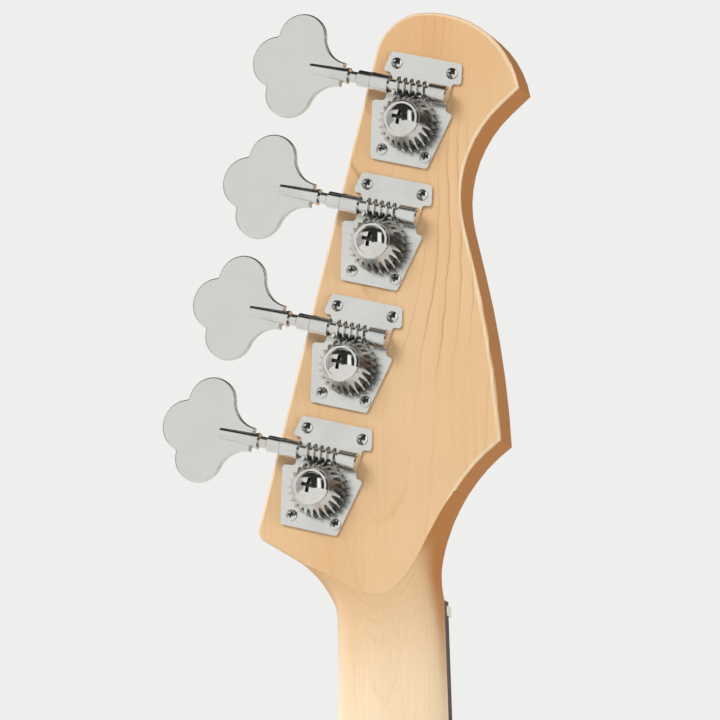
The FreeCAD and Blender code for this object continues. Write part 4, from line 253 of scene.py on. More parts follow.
# ---------------------------------------------------------------------------------------------- finishes
class Finish(ABC):
    """A finish that can be put on a node or a new piece."""

    name: str

    @abstractmethod
    def paint(self, shader: Shader) -> bpy.types.Material:
        """Fill a shader with this finish and return its material."""

    def material(self) -> bpy.types.Material:
        """The finish as a material, made once."""
        return bpy.data.materials.get(self.name) or self.paint(Shader(self.name))


@dataclass(frozen=True)
class Maple(Finish):
    """Pale maple under satin lacquer: growth lines cut by the carved back, fibres, flecks and a warmer head."""

    name: str = "maple_satin"
    pale: Colour = (0.93, 0.735, 0.50)
    tan: Colour = (0.765, 0.50, 0.27)
    honey: Colour = (0.66, 0.33, 0.105)
    line: Colour = (0.50, 0.235, 0.08)
    # painted highlight: pale colour for the rounded edges of the head face
    painted_edge_highlight: Colour = (0.98, 0.82, 0.60)
    # end: colour of the head's side walls, a side-grain tone darkened further by painted shade
    end: Colour = (0.49, 0.18, 0.032)
    pith: Triple = (-0.002, 0.060, 0.930)
    drift: float = 0.045
    ring: float = 0.0016
    head_start: float = 0.962
    head_ease: float = 0.057
    honey_rise: tuple[float, float] = (1.06, 1.16)
    line_share: float = 0.70
    fibre_share: float = 0.20
    fleck_share: float = 0.10

    def paint(self, shader: Shader) -> bpy.types.Material:
        """Layers about a leaning pith, waved by slow noise, under a tone that warms up the head."""
        rise = shader.along((0.0, 0.0, 1.0))
        slow = shader.noise(1.0, 1.5, shader.mapped((14.0, 14.0, 6.0))) - 0.5
        quick = shader.noise(1.0, 3.0, shader.mapped((60.0, 60.0, 34.0))) - 0.5
        side = shader.along((1.0, 0.0, 0.0), self.pith) + slow * 0.026 + quick * 0.0040
        depth = shader.along((0.0, 1.0, self.drift), self.pith) + slow * 0.0045 + quick * 0.0009
        layer = shader.math("SQRT", side * side + depth * depth) / self.ring
        turn = shader.math("FRACT", layer)
        fade = shader.noise(1.0, 1.0, shader.mapped((46.0, 46.0, 11.0))).step(0.45, 0.68)
        line = (turn.step(0.84, 0.95) * turn.step(1.0, 0.965) * 0.8 + turn.step(0.35, 0.95) * 0.12) * (fade * 0.9 + 0.1)
        fibre = shader.noise(1.0, 3.0, shader.mapped((900.0, 900.0, 22.0)))
        fleck = shader.noise(1.0, 1.0, shader.mapped((1300.0, 1300.0, 130.0))).step(0.64, 0.76)
        cloud = shader.noise(1.0, 2.0, shader.mapped((30.0, 30.0, 9.0))) - 0.5
        facing = abs(shader.axis(shader.facing, "Y"))
        head = rise.step(self.head_start - self.head_ease, self.head_start)
        wall = facing.step(0.62, 0.20) * head
        eased = facing.step(0.35, 0.70) * facing.step(0.992, 0.95) * rise.step(self.head_start + 0.008, 0.985)
        warm = shader.math("MINIMUM", rise.step(*self.honey_rise) * 0.40 + cloud * 0.6, 1.0)
        tone = shader.blend(head * 0.9 + cloud * 0.35, self.pale, self.tan)
        tone = shader.blend(shader.math("MAXIMUM", warm, 0.0), tone, self.honey)
        # the head's side walls take a darker side-grain tone with painted shade in it
        tone = shader.blend(wall * 0.9, tone, self.end)
        # painted highlight along the rounded edges of the head face
        tone = shader.blend(eased * 0.55, tone, self.painted_edge_highlight)
        tone = shader.blend(line * self.line_share, tone, self.line)
        tone = shader.blend((fibre - 0.32) * self.fibre_share, tone, self.line)
        tone = shader.blend(fleck * self.fleck_share, tone, self.line)
        return shader.surface(
            Base_Color=tone, Roughness=0.36 + fibre * 0.10 + wall * 0.25, Coat_Weight=0.15 - wall * 0.15,
            Coat_Roughness=0.16, Specular_IOR_Level=0.28, Normal=shader.bump(fibre + line * 0.5, 0.00004, 0.3))


class Run(Enum):
    """The two ways across the body's outline, as axes of a mesh: which one is followed, which one is measured."""

    UPWARD = (2, 0)
    SIDEWAYS = (0, 2)


@dataclass(frozen=True)
class Outline:
    """Lowest and highest reach of a mesh at even places along one axis."""

    run: Run
    start: float
    end: float
    spans: tuple[tuple[float, float], ...]

    @classmethod
    def of(cls, mesh: bpy.types.Mesh, run: Run, count: int = 30, inset: float = 0.0015) -> "Outline":
        """Measure a mesh.

        Args:
            mesh: the mesh, in metres.
            run: the axis to follow and the axis to measure.
            count: how many places.
            inset: how far the first and last place lie inside the ends.
        Returns:
            The outline.
        """
        along, across = run.value
        spots = [vertex.co.copy() for vertex in mesh.vertices]
        start, end = min(s[along] for s in spots) + inset, max(s[along] for s in spots) - inset
        step = (end - start) / (count - 1)
        spans = [[math.inf, -math.inf] for _ in range(count)]
        for edge in mesh.edges:
            low, high = sorted((spots[index] for index in edge.vertices), key=lambda spot: spot[along])
            first = max(math.ceil((low[along] - start) / step), 0)
            last = min(math.floor((high[along] - start) / step), count - 1)
            for place in range(first, last + 1):
                rise = high[along] - low[along]
                share = (start + place * step - low[along]) / rise if rise else 0.0
                reach = low[across] + (high[across] - low[across]) * share
                spans[place] = [min(spans[place][0], reach), max(spans[place][1], reach)]
        return cls(run, start, end, tuple((low, high) for low, high in spans))

    def gap(self, shader: "Shader") -> Val:
        """Distance of the surface spot from the nearer edge of the outline, along the measured axis."""
        along, across = ("XYZ"[axis] for axis in self.run.value)
        place = (shader.axis(shader.spot, along) - self.start) / (self.end - self.start)
        base = min(low for low, _ in self.spans)
        size = max(high for _, high in self.spans) - base
        edges = []
        for side in (0, 1):
            stops = tuple((index / (len(self.spans) - 1), ((span[side] - base) / size,) * 3)
                          for index, span in enumerate(self.spans))
            ramp = shader.node("ShaderNodeValToRGB", {"stops": stops}, {"Fac": place})
            edges.append(Val(shader, ramp.outputs["Color"]) * size + base)
        spot = shader.axis(shader.spot, across)
        return shader.math("MAXIMUM", shader.math("SMOOTH_MIN", spot - edges[0], edges[1] - spot, 0.02), 0.0)


@dataclass(frozen=True)
class Sunburst(Finish):
    """Gloss burst: amber in the middle, red-brown, then black at the rim, over a plain grained wood."""

    outlines: tuple[Outline, ...]
    name: str = "sunburst_gloss"
    amber: Colour = (0.62, 0.24, 0.035)
    brown: Colour = (0.17, 0.027, 0.008)
    rim: Colour = (0.006, 0.004, 0.004)
    grain: Colour = (0.30, 0.085, 0.012)

    def paint(self, shader: Shader) -> bpy.types.Material:
        """Measure the way in from the rim as the height of the right triangle that both gaps make."""
        aside, above = (outline.gap(shader) for outline in self.outlines)
        way = aside * above / shader.math("SQRT", aside * aside + above * above + 1e-8)
        warp = shader.noise(1.0, 4.0, shader.mapped((14.0, 14.0, 2.2)))
        figure = shader.math("SINE", (shader.along((1.0, 0.35, 0.0)) + warp * 0.09) * 820.0) * 0.5 + 0.5
        pores = shader.noise(1.0, 2.0, shader.mapped((1300.0, 1300.0, 55.0))).step(0.58, 0.75)
        wood = shader.blend(figure ** 2.0 * 0.45 + pores * 0.3, self.amber, self.grain)
        way = way + (shader.noise(30.0, 3.0) - 0.5) * 0.008
        tone = shader.blend(way.step(0.074, 0.036), wood, self.brown)
        tone = shader.blend(way.step(0.045, 0.014), tone, self.rim)
        tone = shader.blend(abs(shader.axis(shader.facing, "Y")).step(0.8, 0.4), tone, self.rim)
        haze = shader.noise(160.0, 3.0)
        return shader.surface(
            Base_Color=tone, Roughness=0.16 + haze * 0.07, Coat_Weight=1.0, Coat_Roughness=0.035,
            Normal=shader.bump(shader.noise(55.0, 2.0), 0.00035, 0.12))


@dataclass(frozen=True)
class DarkWood(Finish):
    """Oiled dark fingerboard wood with streaks and open pores along the neck."""

    name: str = "dark_board_wood"
    dark: Colour = (0.030, 0.014, 0.009)
    light: Colour = (0.125, 0.058, 0.030)
    pore: Colour = (0.012, 0.006, 0.004)

    def paint(self, shader: Shader) -> bpy.types.Material:
        """Streaks, finer fibres and pores."""
        warp = shader.noise(1.0, 4.0, shader.mapped((40.0, 40.0, 3.0)))
        streak = shader.noise(1.0, 4.0, shader.mapped((260.0, 260.0, 5.0))) * 0.7 + warp * 0.3
        pores = shader.noise(1.0, 1.0, shader.mapped((2600.0, 2600.0, 130.0))).step(0.60, 0.72)
        tone = shader.blend(streak.step(0.35, 0.68), self.dark, self.light)
        tone = shader.blend(pores * 0.8, tone, self.pore)
        return shader.surface(
            Base_Color=tone, Roughness=0.42 + streak * 0.16 + pores * 0.2,
            Normal=shader.bump(1 - pores, 0.00012, 0.5))


@dataclass(frozen=True)
class Plated(Finish):
    """Metal plating: brushed or polished, clouded by handling, with fine scuffs and, on some pieces, painted shade in
    recesses and round rims.
    """

    name: str
    tint: Colour = (0.78, 0.78, 0.755)
    dull: Colour = (0.63, 0.62, 0.585)
    rough: float = 0.24
    spread: float = 0.10
    brush: Triple = (2200.0, 2200.0, 90.0)
    scuff: float = 0.25
    painted_shade: Colour = (0.016, 0.014, 0.011)

    def shade_and_grime(self, shader: Shader) -> Number:
        """Share of painted shade over the surface; none on open plating."""
        return 0.0

    def paint(self, shader: Shader) -> bpy.types.Material:
        """Clouds of dullness, brush lines, scuffs and painted shade in colour, gloss and relief."""
        shade_and_grime = self.shade_and_grime(shader)
        cloud = shader.noise(75.0, 4.0, rough=0.6)
        lines = shader.noise(1.0, 3.0, shader.mapped(self.brush))
        scuffs = shader.noise(1.0, 2.0, shader.mapped((380.0, 950.0, 1900.0), (0.4, 0.2, 0.7))).step(0.60, 0.74)
        worn = cloud.step(0.35, 0.75)
        tone = shader.blend(worn * 0.55 + scuffs * 0.12, self.tint, self.dull)
        return shader.surface(
            # painted shade: the dark share from the subclass darkens the colour towards a near-black tone and dulls the
            # metal
            Base_Color=shader.blend(shade_and_grime, tone, self.painted_shade), Metallic=1.0 - shade_and_grime * 0.7,
            Roughness=self.rough + (worn - 0.5) * self.spread + lines * 0.05 + scuffs * 0.08 + shade_and_grime * 0.3,
            Normal=shader.bump(lines + scuffs * 0.5, 0.00003, self.scuff))


@dataclass(frozen=True)
class CrossHeads(Plated):
    """Plated screw heads that face the back, with painted shade in their cross recesses and a painted contact shadow
    round their rims.
    """

    floor: float = -0.00430

    def shade_and_grime(self, shader: Shader) -> Number:
        """Painted shade on recess walls and floors, and a painted contact shadow where a head meets its plate."""
        facing = shader.axis(shader.facing, "Y")
        depth = shader.along((0.0, 1.0, 0.0), (0.0, self.floor, 0.0))
        sunk = facing.step(0.88, 0.95) * depth.step(0.0, -0.00015)
        # painted shadow: the rim, where the head turns away from the back, and the recess floor are darkened
        return shader.math("MAXIMUM", facing.step(0.68, 0.56), sunk) * 0.92


@dataclass(frozen=True)
class PostHead(Plated):
    """Polished post with a domed screw on its gear, with painted shade in the screw's cross recess."""

    post: Triple = (0.0, 0.0, 0.0)
    recess: float = 0.0034
    floor: float = 0.0086
    start: float = 0.0060

    def shade_and_grime(self, shader: Shader) -> Number:
        """Painted shade on the recess's walls and floor, near the post's axis and behind the headstock only."""
        reach = shader.from_axis(self.post)
        depth = shader.along((0.0, 1.0, 0.0))
        facing = shader.axis(shader.facing, "Y")
        sunk = shader.math("MAXIMUM", facing.step(0.62, 0.45), depth.step(self.floor, self.floor - 0.0003))
        # painted shade in the cross recess, darkened towards a near-black tone
        return sunk * reach.step(self.recess, self.recess - 0.0003) * depth.step(self.start - 0.0005, self.start) * 0.95


@dataclass(frozen=True)
class CutGear(Finish):
    """Plated gear on one post: turned rings on its faces, painted shade down in the tooth gaps and specks of grease."""

    name: str
    centre: Triple
    tint: Colour = (0.74, 0.735, 0.70)
    worn: Colour = (0.52, 0.51, 0.475)
    grease_and_shade: Colour = (0.022, 0.018, 0.013)
    gap: float = 0.0091

    def paint(self, shader: Shader) -> bpy.types.Material:
        """Rings by distance from the post, painted shade by depth between the teeth, grease specks by noise."""
        reach = shader.from_axis(self.centre)
        smear = shader.noise(520.0, 4.0)
        # painted shade: tooth flanks inside the gap radius darken, broken up by noise; the noise specks are grease
        deep = reach.step(self.gap, self.gap - 0.0007) * abs(shader.axis(shader.facing, "Y")).step(0.50, 0.38)
        shade_and_grime = deep * (0.55 + smear * 0.45) + smear.step(0.56, 0.70) * 0.25
        rings = shader.math("SINE", reach * 31000.0 + smear * 2.0) * 0.5 + 0.5
        tone = shader.blend(rings * 0.35 + smear * 0.25, self.tint, self.worn)
        return shader.surface(
            Base_Color=shader.blend(shade_and_grime, tone, self.grease_and_shade), Metallic=1.0 - shade_and_grime * 0.6,
            Roughness=0.20 + rings * 0.08 + shade_and_grime * 0.25, Normal=shader.bump(rings, 0.00003, 0.35))


@dataclass(frozen=True)
class Moulded(Finish):
    """Moulded plastic, bone-like or pearl-like pieces: fine grain, faint clouds and handling marks."""

    name: str
    base: Colour
    shade: Colour
    rough: float = 0.3
    grain: float = 0.2
    coat: float = 0.0
    cloud: float = 60.0

    def paint(self, shader: Shader) -> bpy.types.Material:
        """Clouded colour with a fine moulded texture."""
        clouds = shader.noise(self.cloud, 4.0, rough=0.6)
        fine = shader.noise(2600.0, 2.0)
        marks = shader.noise(1.0, 2.0, shader.mapped((300.0, 700.0, 1500.0), (0.3, 0.9, 0.2))).step(0.62, 0.75)
        tone = shader.blend(clouds.step(0.3, 0.75) * 0.7 + marks * 0.12, self.base, self.shade)
        return shader.surface(
            Base_Color=tone, Roughness=self.rough + clouds * 0.08 + marks * 0.1, Coat_Weight=self.coat,
            Coat_Roughness=0.08, Normal=shader.bump(fine + marks * 0.3, 0.00004, self.grain))


@dataclass(frozen=True)
class PlySheet(Finish):
    """Three-layer guard sheet: pale, dark, pale through its thickness."""

    name: str = "guard_ply"
    face: Colour = (0.80, 0.785, 0.73)
    aged: Colour = (0.74, 0.715, 0.64)
    core: Colour = (0.012, 0.012, 0.012)
    front: float = -0.0244
    layer: float = 0.0008

    def paint(self, shader: Shader) -> bpy.types.Material:
        """Layers by depth below the front face, fine scratches on it."""
        depth = shader.along((0.0, 1.0, 0.0), (0.0, self.front, 0.0))
        core = depth.step(self.layer * 0.97, self.layer * 1.03) * depth.step(self.layer * 2.03, self.layer * 1.97)
        cloud = shader.noise(22.0, 3.0)
        hair = shader.noise(1.0, 2.0, shader.mapped((90.0, 1.0, 2600.0), (0.0, 0.6, 0.0))).step(0.62, 0.72)
        pale = shader.blend(cloud * 0.5, self.face, self.aged)
        return shader.surface(
            Base_Color=shader.blend(core, pale, self.core), Roughness=0.14 + cloud * 0.08 + hair * 0.16,
            Normal=shader.bump(hair, 0.00002, 0.25))


@dataclass(frozen=True)
class WoundWire(Finish):
    """Round-wound strings: a wrap along the speaking length and round the posts."""

    name: str = "string_wound"
    bright: Colour = (0.62, 0.61, 0.58)
    # gap: painted shade colour for the hollows between the wraps
    gap: Colour = (0.10, 0.09, 0.08)
    pitch: float = 0.00042

    def paint(self, shader: Shader) -> bpy.types.Material:
        """Wrap lines in relief with painted shade in the gaps and slight tarnish."""
        turns = shader.along((0.06, 0.5, 1.0)) * (2.0 * math.pi / self.pitch)
        wrap = shader.math("SINE", turns) * 0.5 + 0.5
        tarnish = shader.noise(130.0, 4.0).step(0.4, 0.8)
        # painted shade: the hollows between the wraps darken towards the gap colour
        tone = shader.blend(wrap.step(0.35, 0.0) * 0.6 + tarnish * 0.2, self.bright, self.gap)
        return shader.surface(
            Base_Color=tone, Metallic=1.0, Roughness=0.3 + tarnish * 0.15,
            Normal=shader.bump(wrap, 0.0001, 0.5))


MAPLE = Maple()
SUNBURST = Sunburst(tuple(Outline.of(NODES["body"].data, run) for run in Run))
BOARD = DarkWood()
PLATE_NICKEL = Plated("plate_satin", dull=(0.70, 0.70, 0.67), rough=0.22, spread=0.04, scuff=0.08)
KEY_NICKEL = Plated("key_satin", tint=(0.775, 0.785, 0.755), dull=(0.745, 0.755, 0.725), rough=0.25, spread=0.02,
                    brush=(90.0, 90.0, 90.0), scuff=0.015)
BRIGHT_NICKEL = Plated("bright_nickel", tint=(0.80, 0.79, 0.765), rough=0.11, spread=0.08, scuff=0.12)
SCREW_NICKEL = Plated("screw_nickel", tint=(0.74, 0.735, 0.71), rough=0.17, spread=0.10, brush=(900.0, 900.0, 900.0))
TURNED_NICKEL = Plated("turned_nickel", tint=(0.77, 0.765, 0.74), rough=0.15, spread=0.08, brush=(2600.0, 60.0, 60.0))
SADDLE_STEEL = Plated("saddle_steel", tint=(0.66, 0.65, 0.62), rough=0.28)
PLAIN_STEEL = Plated("plain_steel", tint=(0.52, 0.52, 0.51), dull=(0.36, 0.35, 0.33), rough=0.36, spread=0.16)
FRET_SILVER = Plated("fret_silver", tint=(0.72, 0.71, 0.67), rough=0.16, spread=0.10, brush=(60.0, 900.0, 3000.0))
COIL_COPPER = Plated("coil_copper", tint=(0.50, 0.20, 0.09), dull=(0.20, 0.07, 0.03), rough=0.34,
                     brush=(60.0, 3000.0, 60.0))
PLATE_SCREWS = CrossHeads("plate_screw_nickel", tint=(0.76, 0.755, 0.73), rough=0.13, spread=0.06)
GUARD_PLY = PlySheet()
BONE = Moulded("nut_bone", (0.83, 0.79, 0.68), (0.76, 0.69, 0.54), rough=0.32, coat=0.2)
PEARL = Moulded("marker_pearl", (0.80, 0.79, 0.74), (0.58, 0.60, 0.58), rough=0.18, coat=0.6, cloud=420.0)
BLACK_PLASTIC = Moulded("cover_black", (0.014, 0.014, 0.015), (0.026, 0.025, 0.024), rough=0.27, grain=0.3)
WOUND = WoundWire()


# ---------------------------------------------------------------------------------------------- sub-assemblies
@dataclass
class Assembly:
    """A group of frame nodes that share a place on the bass, each with its finish."""

    title: str = ""
    finishes: dict[str, Finish] = field(default_factory=dict)

    def dress(self) -> None:
        """Put each node's finish on its material slots."""
        for name, finish in self.finishes.items():
            mesh = NODES[name].data
            mesh.materials.clear()
            mesh.materials.append(finish.material())
            log.info("%s: %s in %s", self.title, name, finish.name)

    def build(self) -> None:
        """Model the new pieces of this group, if it has any."""


def each(stem: str, finish: Finish) -> dict[str, Finish]:
    """The same finish for a node of every string."""
    return {f"{stem}_{name}": finish for name in STRING_NAMES}


@dataclass
class Neck(Assembly):
    """Neck, headstock, fingerboard, frets, nut and rod."""

    title: str = "neck"
    finishes: dict[str, Finish] = field(default_factory=lambda: {
        "neck": MAPLE, "fingerboard": BOARD, "frets": FRET_SILVER, "nut": BONE, "position_markers": PEARL,
        "truss_rod": PLAIN_STEEL})


@dataclass
class TunerRow(Assembly):
    """Four tuners with their plates and screws, and the string tree."""

    title: str = "tuners"
    finishes: dict[str, Finish] = field(default_factory=lambda: {
        "tuner_plates": PLATE_NICKEL, "tuner_plate_screws": PLATE_SCREWS, "tuner_ferrules": BRIGHT_NICKEL,
        "string_tree": BRIGHT_NICKEL, "string_tree_screw": SCREW_NICKEL,
        **each("tuner_key", KEY_NICKEL), **each("worm_shaft", TURNED_NICKEL)})
    first_post: Triple = (0.0192, -0.0061, 0.9886)
    pitch: float = 0.0442
    lean: float = math.radians(15.2)

    def __post_init__(self) -> None:
        """Give each gear and post a finish centred on its own axis."""
        for index, name in enumerate(STRING_NAMES):
            step = self.pitch * index
            post = (self.first_post[0] - math.sin(self.lean) * step, self.first_post[1],
                    self.first_post[2] + math.cos(self.lean) * step)
            self.finishes[f"worm_gear_{name}"] = CutGear(f"gear_grease_and_shade_{name}", post)
            self.finishes[f"string_post_{name}"] = PostHead(
                f"post_nickel_{name}", tint=(0.80, 0.785, 0.75), rough=0.09, spread=0.05, scuff=0.10, post=post)


@dataclass
class Body(Assembly):
    """Body with its neck plate and strap buttons."""

    title: str = "body"
    finishes: dict[str, Finish] = field(default_factory=lambda: {
        "body": SUNBURST, "neck_plate": BRIGHT_NICKEL, "neck_screws": SCREW_NICKEL, "strap_buttons": BRIGHT_NICKEL,
        "strap_button_screws": SCREW_NICKEL, "pickguard": GUARD_PLY, "pickguard_screws": SCREW_NICKEL})


@dataclass
class Pickups(Assembly):
    """Split pickup: two covers with coils, poles and screws."""

    title: str = "pickups"
    finishes: dict[str, Finish] = field(default_factory=lambda: {
        "pickup_covers": BLACK_PLASTIC, "pickup_coils": COIL_COPPER, "pickup_pole_pieces": PLAIN_STEEL,
        "pickup_screws": SCREW_NICKEL})


@dataclass
class Controls(Assembly):
    """Volume, tone and output jack."""

    title: str = "controls"
    finishes: dict[str, Finish] = field(default_factory=lambda: {
        "volume_knob": BRIGHT_NICKEL, "tone_knob": BRIGHT_NICKEL, "volume_pot_shaft": PLAIN_STEEL,
        "tone_pot_shaft": PLAIN_STEEL, "potentiometers": PLAIN_STEEL, "panel_nuts": SCREW_NICKEL,
        "output_jack": BRIGHT_NICKEL})


@dataclass
class Bridge(Assembly):
    """Bent bridge plate with four saddles, their screws and springs."""

    title: str = "bridge"
    finishes: dict[str, Finish] = field(default_factory=lambda: {
        "bridge_plate": BRIGHT_NICKEL, "bridge_screws": SCREW_NICKEL,
        **each("saddle", SADDLE_STEEL), **each("intonation_screw", SCREW_NICKEL)})
    springs: str = "saddle_springs"
    coil_radius: float = 2.05 * MM
    wire: float = 0.6 * MM
    turns: int = 10
    turn_steps: int = 28
    wire_sides: int = 14
    merge_gap: float = 0.001 * MM
    smooth_angle: float = math.radians(40.0)

    def coil(self, rise: float) -> bpy.types.Object:
        """Wind one spring about the Z axis.

        Args:
            rise: height of the wire's middle from the first to the last end.
        Returns:
            The spring, standing on the origin.
        """
        bpy.ops.object.select_all(action="DESELECT")
        bpy.ops.mesh.primitive_circle_add(
            vertices=self.wire_sides, radius=self.wire / 2, location=(self.coil_radius, 0.0, 0.0),
            rotation=(math.pi / 2, 0.0, 0.0))
        made = bpy.context.object
        bpy.ops.object.transform_apply(location=True, rotation=True, scale=True)
        bpy.ops.object.modifier_add(type="SCREW")
        screw = made.modifiers[-1]
        screw.axis, screw.angle, screw.screw_offset = "Z", 2.0 * math.pi, rise / self.turns
        screw.iterations, screw.steps, screw.render_steps = self.turns, self.turn_steps, self.turn_steps
        bpy.ops.object.modifier_apply(modifier=screw.name)
        bpy.ops.object.mode_set(mode="EDIT")
        bpy.ops.mesh.select_all(action="SELECT")
        bpy.ops.mesh.remove_doubles(threshold=self.merge_gap)
        bpy.ops.mesh.fill_holes(sides=self.wire_sides)
        bpy.ops.mesh.select_all(action="SELECT")
        bpy.ops.mesh.normals_make_consistent(inside=False)
        bpy.ops.object.mode_set(mode="OBJECT")
        bpy.ops.object.shade_smooth_by_angle(angle=self.smooth_angle)
        made.data.materials.append(PLAIN_STEEL.material())
        return made

    def build(self) -> None:
        """Set a spring on each intonation screw, from the flange to the saddle."""
        low, high = (corner[2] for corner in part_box(self.springs))
        first = self.coil(high - low - self.wire)
        for name in STRING_NAMES:
            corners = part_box(f"intonation_screw_{name}")
            x, y = ((corners[0][axis] + corners[1][axis]) / 2 for axis in (0, 1))
            bpy.ops.object.select_all(action="DESELECT")
            first.select_set(True)
            bpy.context.view_layer.objects.active = first
            bpy.ops.object.duplicate(linked=False)
            made = bpy.context.object
            made.name = f"saddle_spring_{name}"
            bpy.ops.transform.translate(value=(x, y, low + self.wire / 2))
            bpy.ops.object.transform_apply(location=True, rotation=True, scale=True)
            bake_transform(made)
            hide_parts(self.springs)
            log.info("%s: %s, %d turns", self.title, made.name, self.turns)
        bpy.data.objects.remove(first)


@dataclass
class Strings(Assembly):
    """Four round-wound strings."""

    title: str = "strings"
    finishes: dict[str, Finish] = field(default_factory=lambda: each("string", WOUND))


# ---------------------------------------------------------------------------------------------- studio
def cosine(degrees: float) -> float:
    """Cosine of an angle in degrees."""
    return math.cos(math.radians(degrees))


@dataclass(frozen=True)
class Flag:
    """A round patch of the room that gloss shows: a dim card or a bright screen."""

    toward: Triple
    outer: float
    soft: float = 9.0
    tone: float = 0.03

    def cover(self, sky: "Sky") -> Val:
        """The share of a direction that the flag takes."""
        near = sky.along(tuple(Vector(self.toward).normalized()))
        return near.step(cosine(self.outer + self.soft), cosine(self.outer))


class Strip(Flag):
    """A patch that stands from the floor to the ceiling, outer degrees to each side of its direction."""

    def cover(self, sky: "Sky") -> Val:
        """The share of a direction that the strip takes."""
        ahead = Vector((self.toward[0], self.toward[1], 0.0)).normalized()
        across = abs(sky.along((ahead.y, -ahead.x, 0.0)))
        share = across.step(cosine(90.0 - self.outer - self.soft), cosine(90.0 - self.outer))
        return share * sky.along(tuple(ahead)).step(-0.05, 0.05)


class Sky(Tree):
    """The studio's room: plain and pale for the eye, pale with flags for gloss, a soft fill for the rest."""

    def __init__(self, backdrop: Colour, fill: float, flags: tuple[Flag, ...]) -> None:
        """Make the room the scene's world.

        Args:
            backdrop: colour behind the bass.
            fill: strength of the light from all round.
            flags: patches that only gloss shows.
        """
        world = bpy.data.worlds.new("studio_room")
        super().__init__(world, "Generated")
        room: Link = backdrop
        for flag in flags:
            room = self.blend(flag.cover(self), room, (flag.tone, flag.tone, flag.tone))
        path = self.node("ShaderNodeLightPath")
        gloss = self.math("MAXIMUM", Val(self, path.outputs["Is Glossy Ray"]),
                          Val(self, path.outputs["Is Transmission Ray"]))
        seen = self.blend(gloss, (fill, fill, fill), room)
        seen = self.blend(Val(self, path.outputs["Is Camera Ray"]), seen, backdrop)
        light = self.node("ShaderNodeBackground", None, {"Color": seen, "Strength": 1.0})
        self.node("ShaderNodeOutputWorld", None, {"Surface": light.outputs[0]})
        bpy.context.scene.world = world


@dataclass(frozen=True)
class Lamp:
    """A square soft lamp: metres right of, above and before the target as the camera sees it, its side and watts."""

    name: str
    side: float
    rise: float
    near: float
    size: float
    power: float


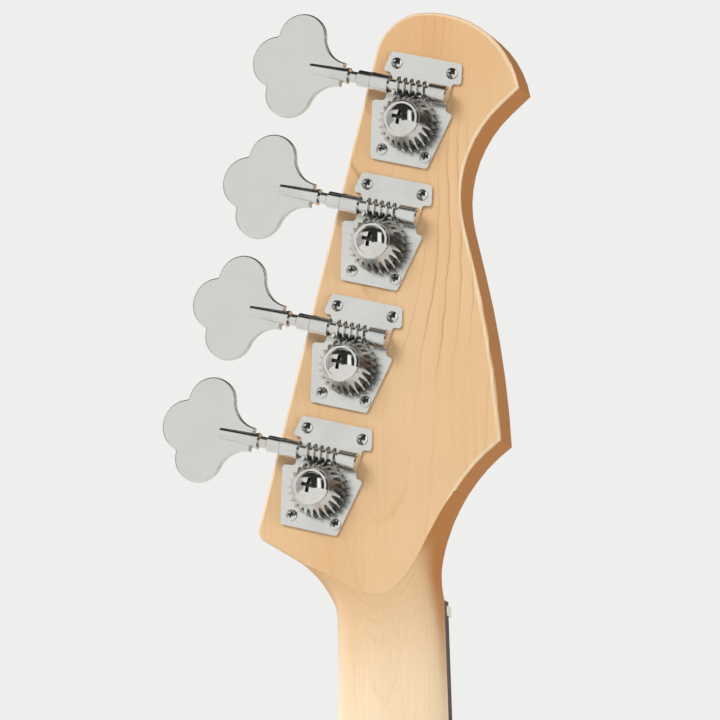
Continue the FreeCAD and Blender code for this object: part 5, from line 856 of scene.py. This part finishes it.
@dataclass
class Studio:
    """Pale floor, soft lamps and the camera behind the headstock."""

    target: Vector = field(default_factory=lambda: Vector((0.00452, -0.0062, 1.03431)))
    forward: Vector = field(default_factory=lambda: Vector((0.2889, -0.9389, 0.1869)))
    upward: Vector = field(default_factory=lambda: Vector((-0.0684, 0.1745, 0.9823)))
    view_width: float = 0.25151
    lens: float = 300.0
    sensor: float = 36.0
    floor_size: float = 9.0
    floor_drop: float = 0.0002
    floor_shade: Colour = (0.80, 0.80, 0.79)
    floor_glow: float = 0.5
    floor_fade: tuple[float, float] = (0.4, 2.0)
    backdrop: Colour = (0.86, 0.86, 0.85)
    fill: float = 0.46
    flags: tuple[Flag, ...] = (
        Flag((0.95, 0.25, 0.05), 22.0, soft=20.0, tone=0.42),
        Flag((-0.97, -0.15, 0.10), 32.0, soft=14.0),
        Strip((-0.80, 0.60, 0.0), 8.0, soft=4.0, tone=1.15),
        Strip((-0.36, 0.93, 0.0), 16.0, soft=5.0),
        Flag((0.0, -0.30, 0.95), 46.0, soft=12.0),
    )
    lamps: tuple[Lamp, ...] = (
        Lamp("key", -0.9, 1.2, 1.2, 0.9, 19.0),
        Lamp("side", 1.35, 0.25, 1.25, 0.6, 10.0),
        Lamp("rim", -1.2, -0.1, -0.3, 0.5, 7.0),
        Lamp("front", -0.5, 0.1, -2.4, 1.2, 26.0),
    )

    def axes(self) -> tuple[Vector, Vector, Vector]:
        """The camera's right, up and forward directions."""
        ahead = self.forward.normalized()
        right = ahead.cross(self.upward).normalized()
        return right, right.cross(ahead), ahead

    def camera(self) -> None:
        """Set the camera at the photograph's angle."""
        right, up, ahead = self.axes()
        data = bpy.data.cameras.new("camera")
        data.lens, data.sensor_width, data.sensor_fit = self.lens, self.sensor, "HORIZONTAL"
        away = self.view_width * self.lens / self.sensor
        made = bpy.data.objects.new("camera", data)
        place = Matrix((right, up, -ahead)).transposed().to_4x4()
        place.translation = self.target - ahead * away
        made.matrix_world = place
        bpy.context.scene.collection.objects.link(made)
        bpy.context.scene.camera = made

    def hang(self, lamp: Lamp) -> None:
        """Hang a lamp that faces the headstock and leaves gloss to the room.

        Args:
            lamp: its place, size and power.
        """
        right, up, ahead = self.axes()
        data = bpy.data.lights.new(lamp.name, "AREA")
        data.size, data.energy = lamp.size, lamp.power
        made = bpy.data.objects.new(lamp.name, data)
        place = self.target + right * lamp.side + up * lamp.rise - ahead * lamp.near
        made.matrix_world = (Matrix.Translation(place)
                             @ (self.target - place).to_track_quat("-Z", "Y").to_matrix().to_4x4())
        made.visible_glossy = False
        bpy.context.scene.collection.objects.link(made)

    def floor(self) -> None:
        """Lay a pale floor under the lower strap button."""
        bpy.ops.object.select_all(action="DESELECT")
        bpy.ops.mesh.primitive_plane_add(size=self.floor_size, location=(0.0, 0.0, CAD_BOX[0][2] - self.floor_drop))
        made = bpy.context.object
        made.name = "floor"
        shader = Shader("floor_pale")
        tone = shader.blend(shader.noise(3.0, 3.0) * 0.3, self.backdrop, self.floor_shade)
        matt = shader.node("ShaderNodeBsdfDiffuse", None, {"Color": tone})
        plain = shader.node("ShaderNodeEmission", None, {"Color": tone, "Strength": 1.0})
        path = shader.node("ShaderNodeLightPath")
        seen = Val(shader, path.outputs["Is Camera Ray"]) + Val(shader, path.outputs["Is Glossy Ray"])
        seen = shader.math("MINIMUM", seen + Val(shader, path.outputs["Is Transmission Ray"]), 1.0)
        reach = shader.node("ShaderNodeVectorMath", {"operation": "LENGTH"}, {0: shader.spot})
        away = Val(shader, reach.outputs["Value"])
        seen = seen * (away.step(*self.floor_fade) * (1.0 - self.floor_glow) + self.floor_glow)
        mixed = shader.node("ShaderNodeMixShader", None, {0: seen, 1: matt.outputs[0], 2: plain.outputs[0]})
        shader.node("ShaderNodeOutputMaterial", None, {"Surface": mixed.outputs[0]})
        made.data.materials.append(shader.material)

    def build(self) -> None:
        """Set up everything around the bass."""
        bpy.context.scene.view_settings.view_transform = "Standard"
        self.camera()
        Sky(self.backdrop, self.fill, self.flags)
        self.floor()
        for lamp in self.lamps:
            self.hang(lamp)


def main() -> None:
    """Dress the frame, add the new pieces and set the studio."""
    logging.basicConfig(level=logging.INFO, format="%(message)s")
    for group in (Neck(), TunerRow(), Body(), Pickups(), Controls(), Bridge(), Strings()):
        group.build()
        group.dress()
    Studio().build()


if __name__ == "__main__":
    main()
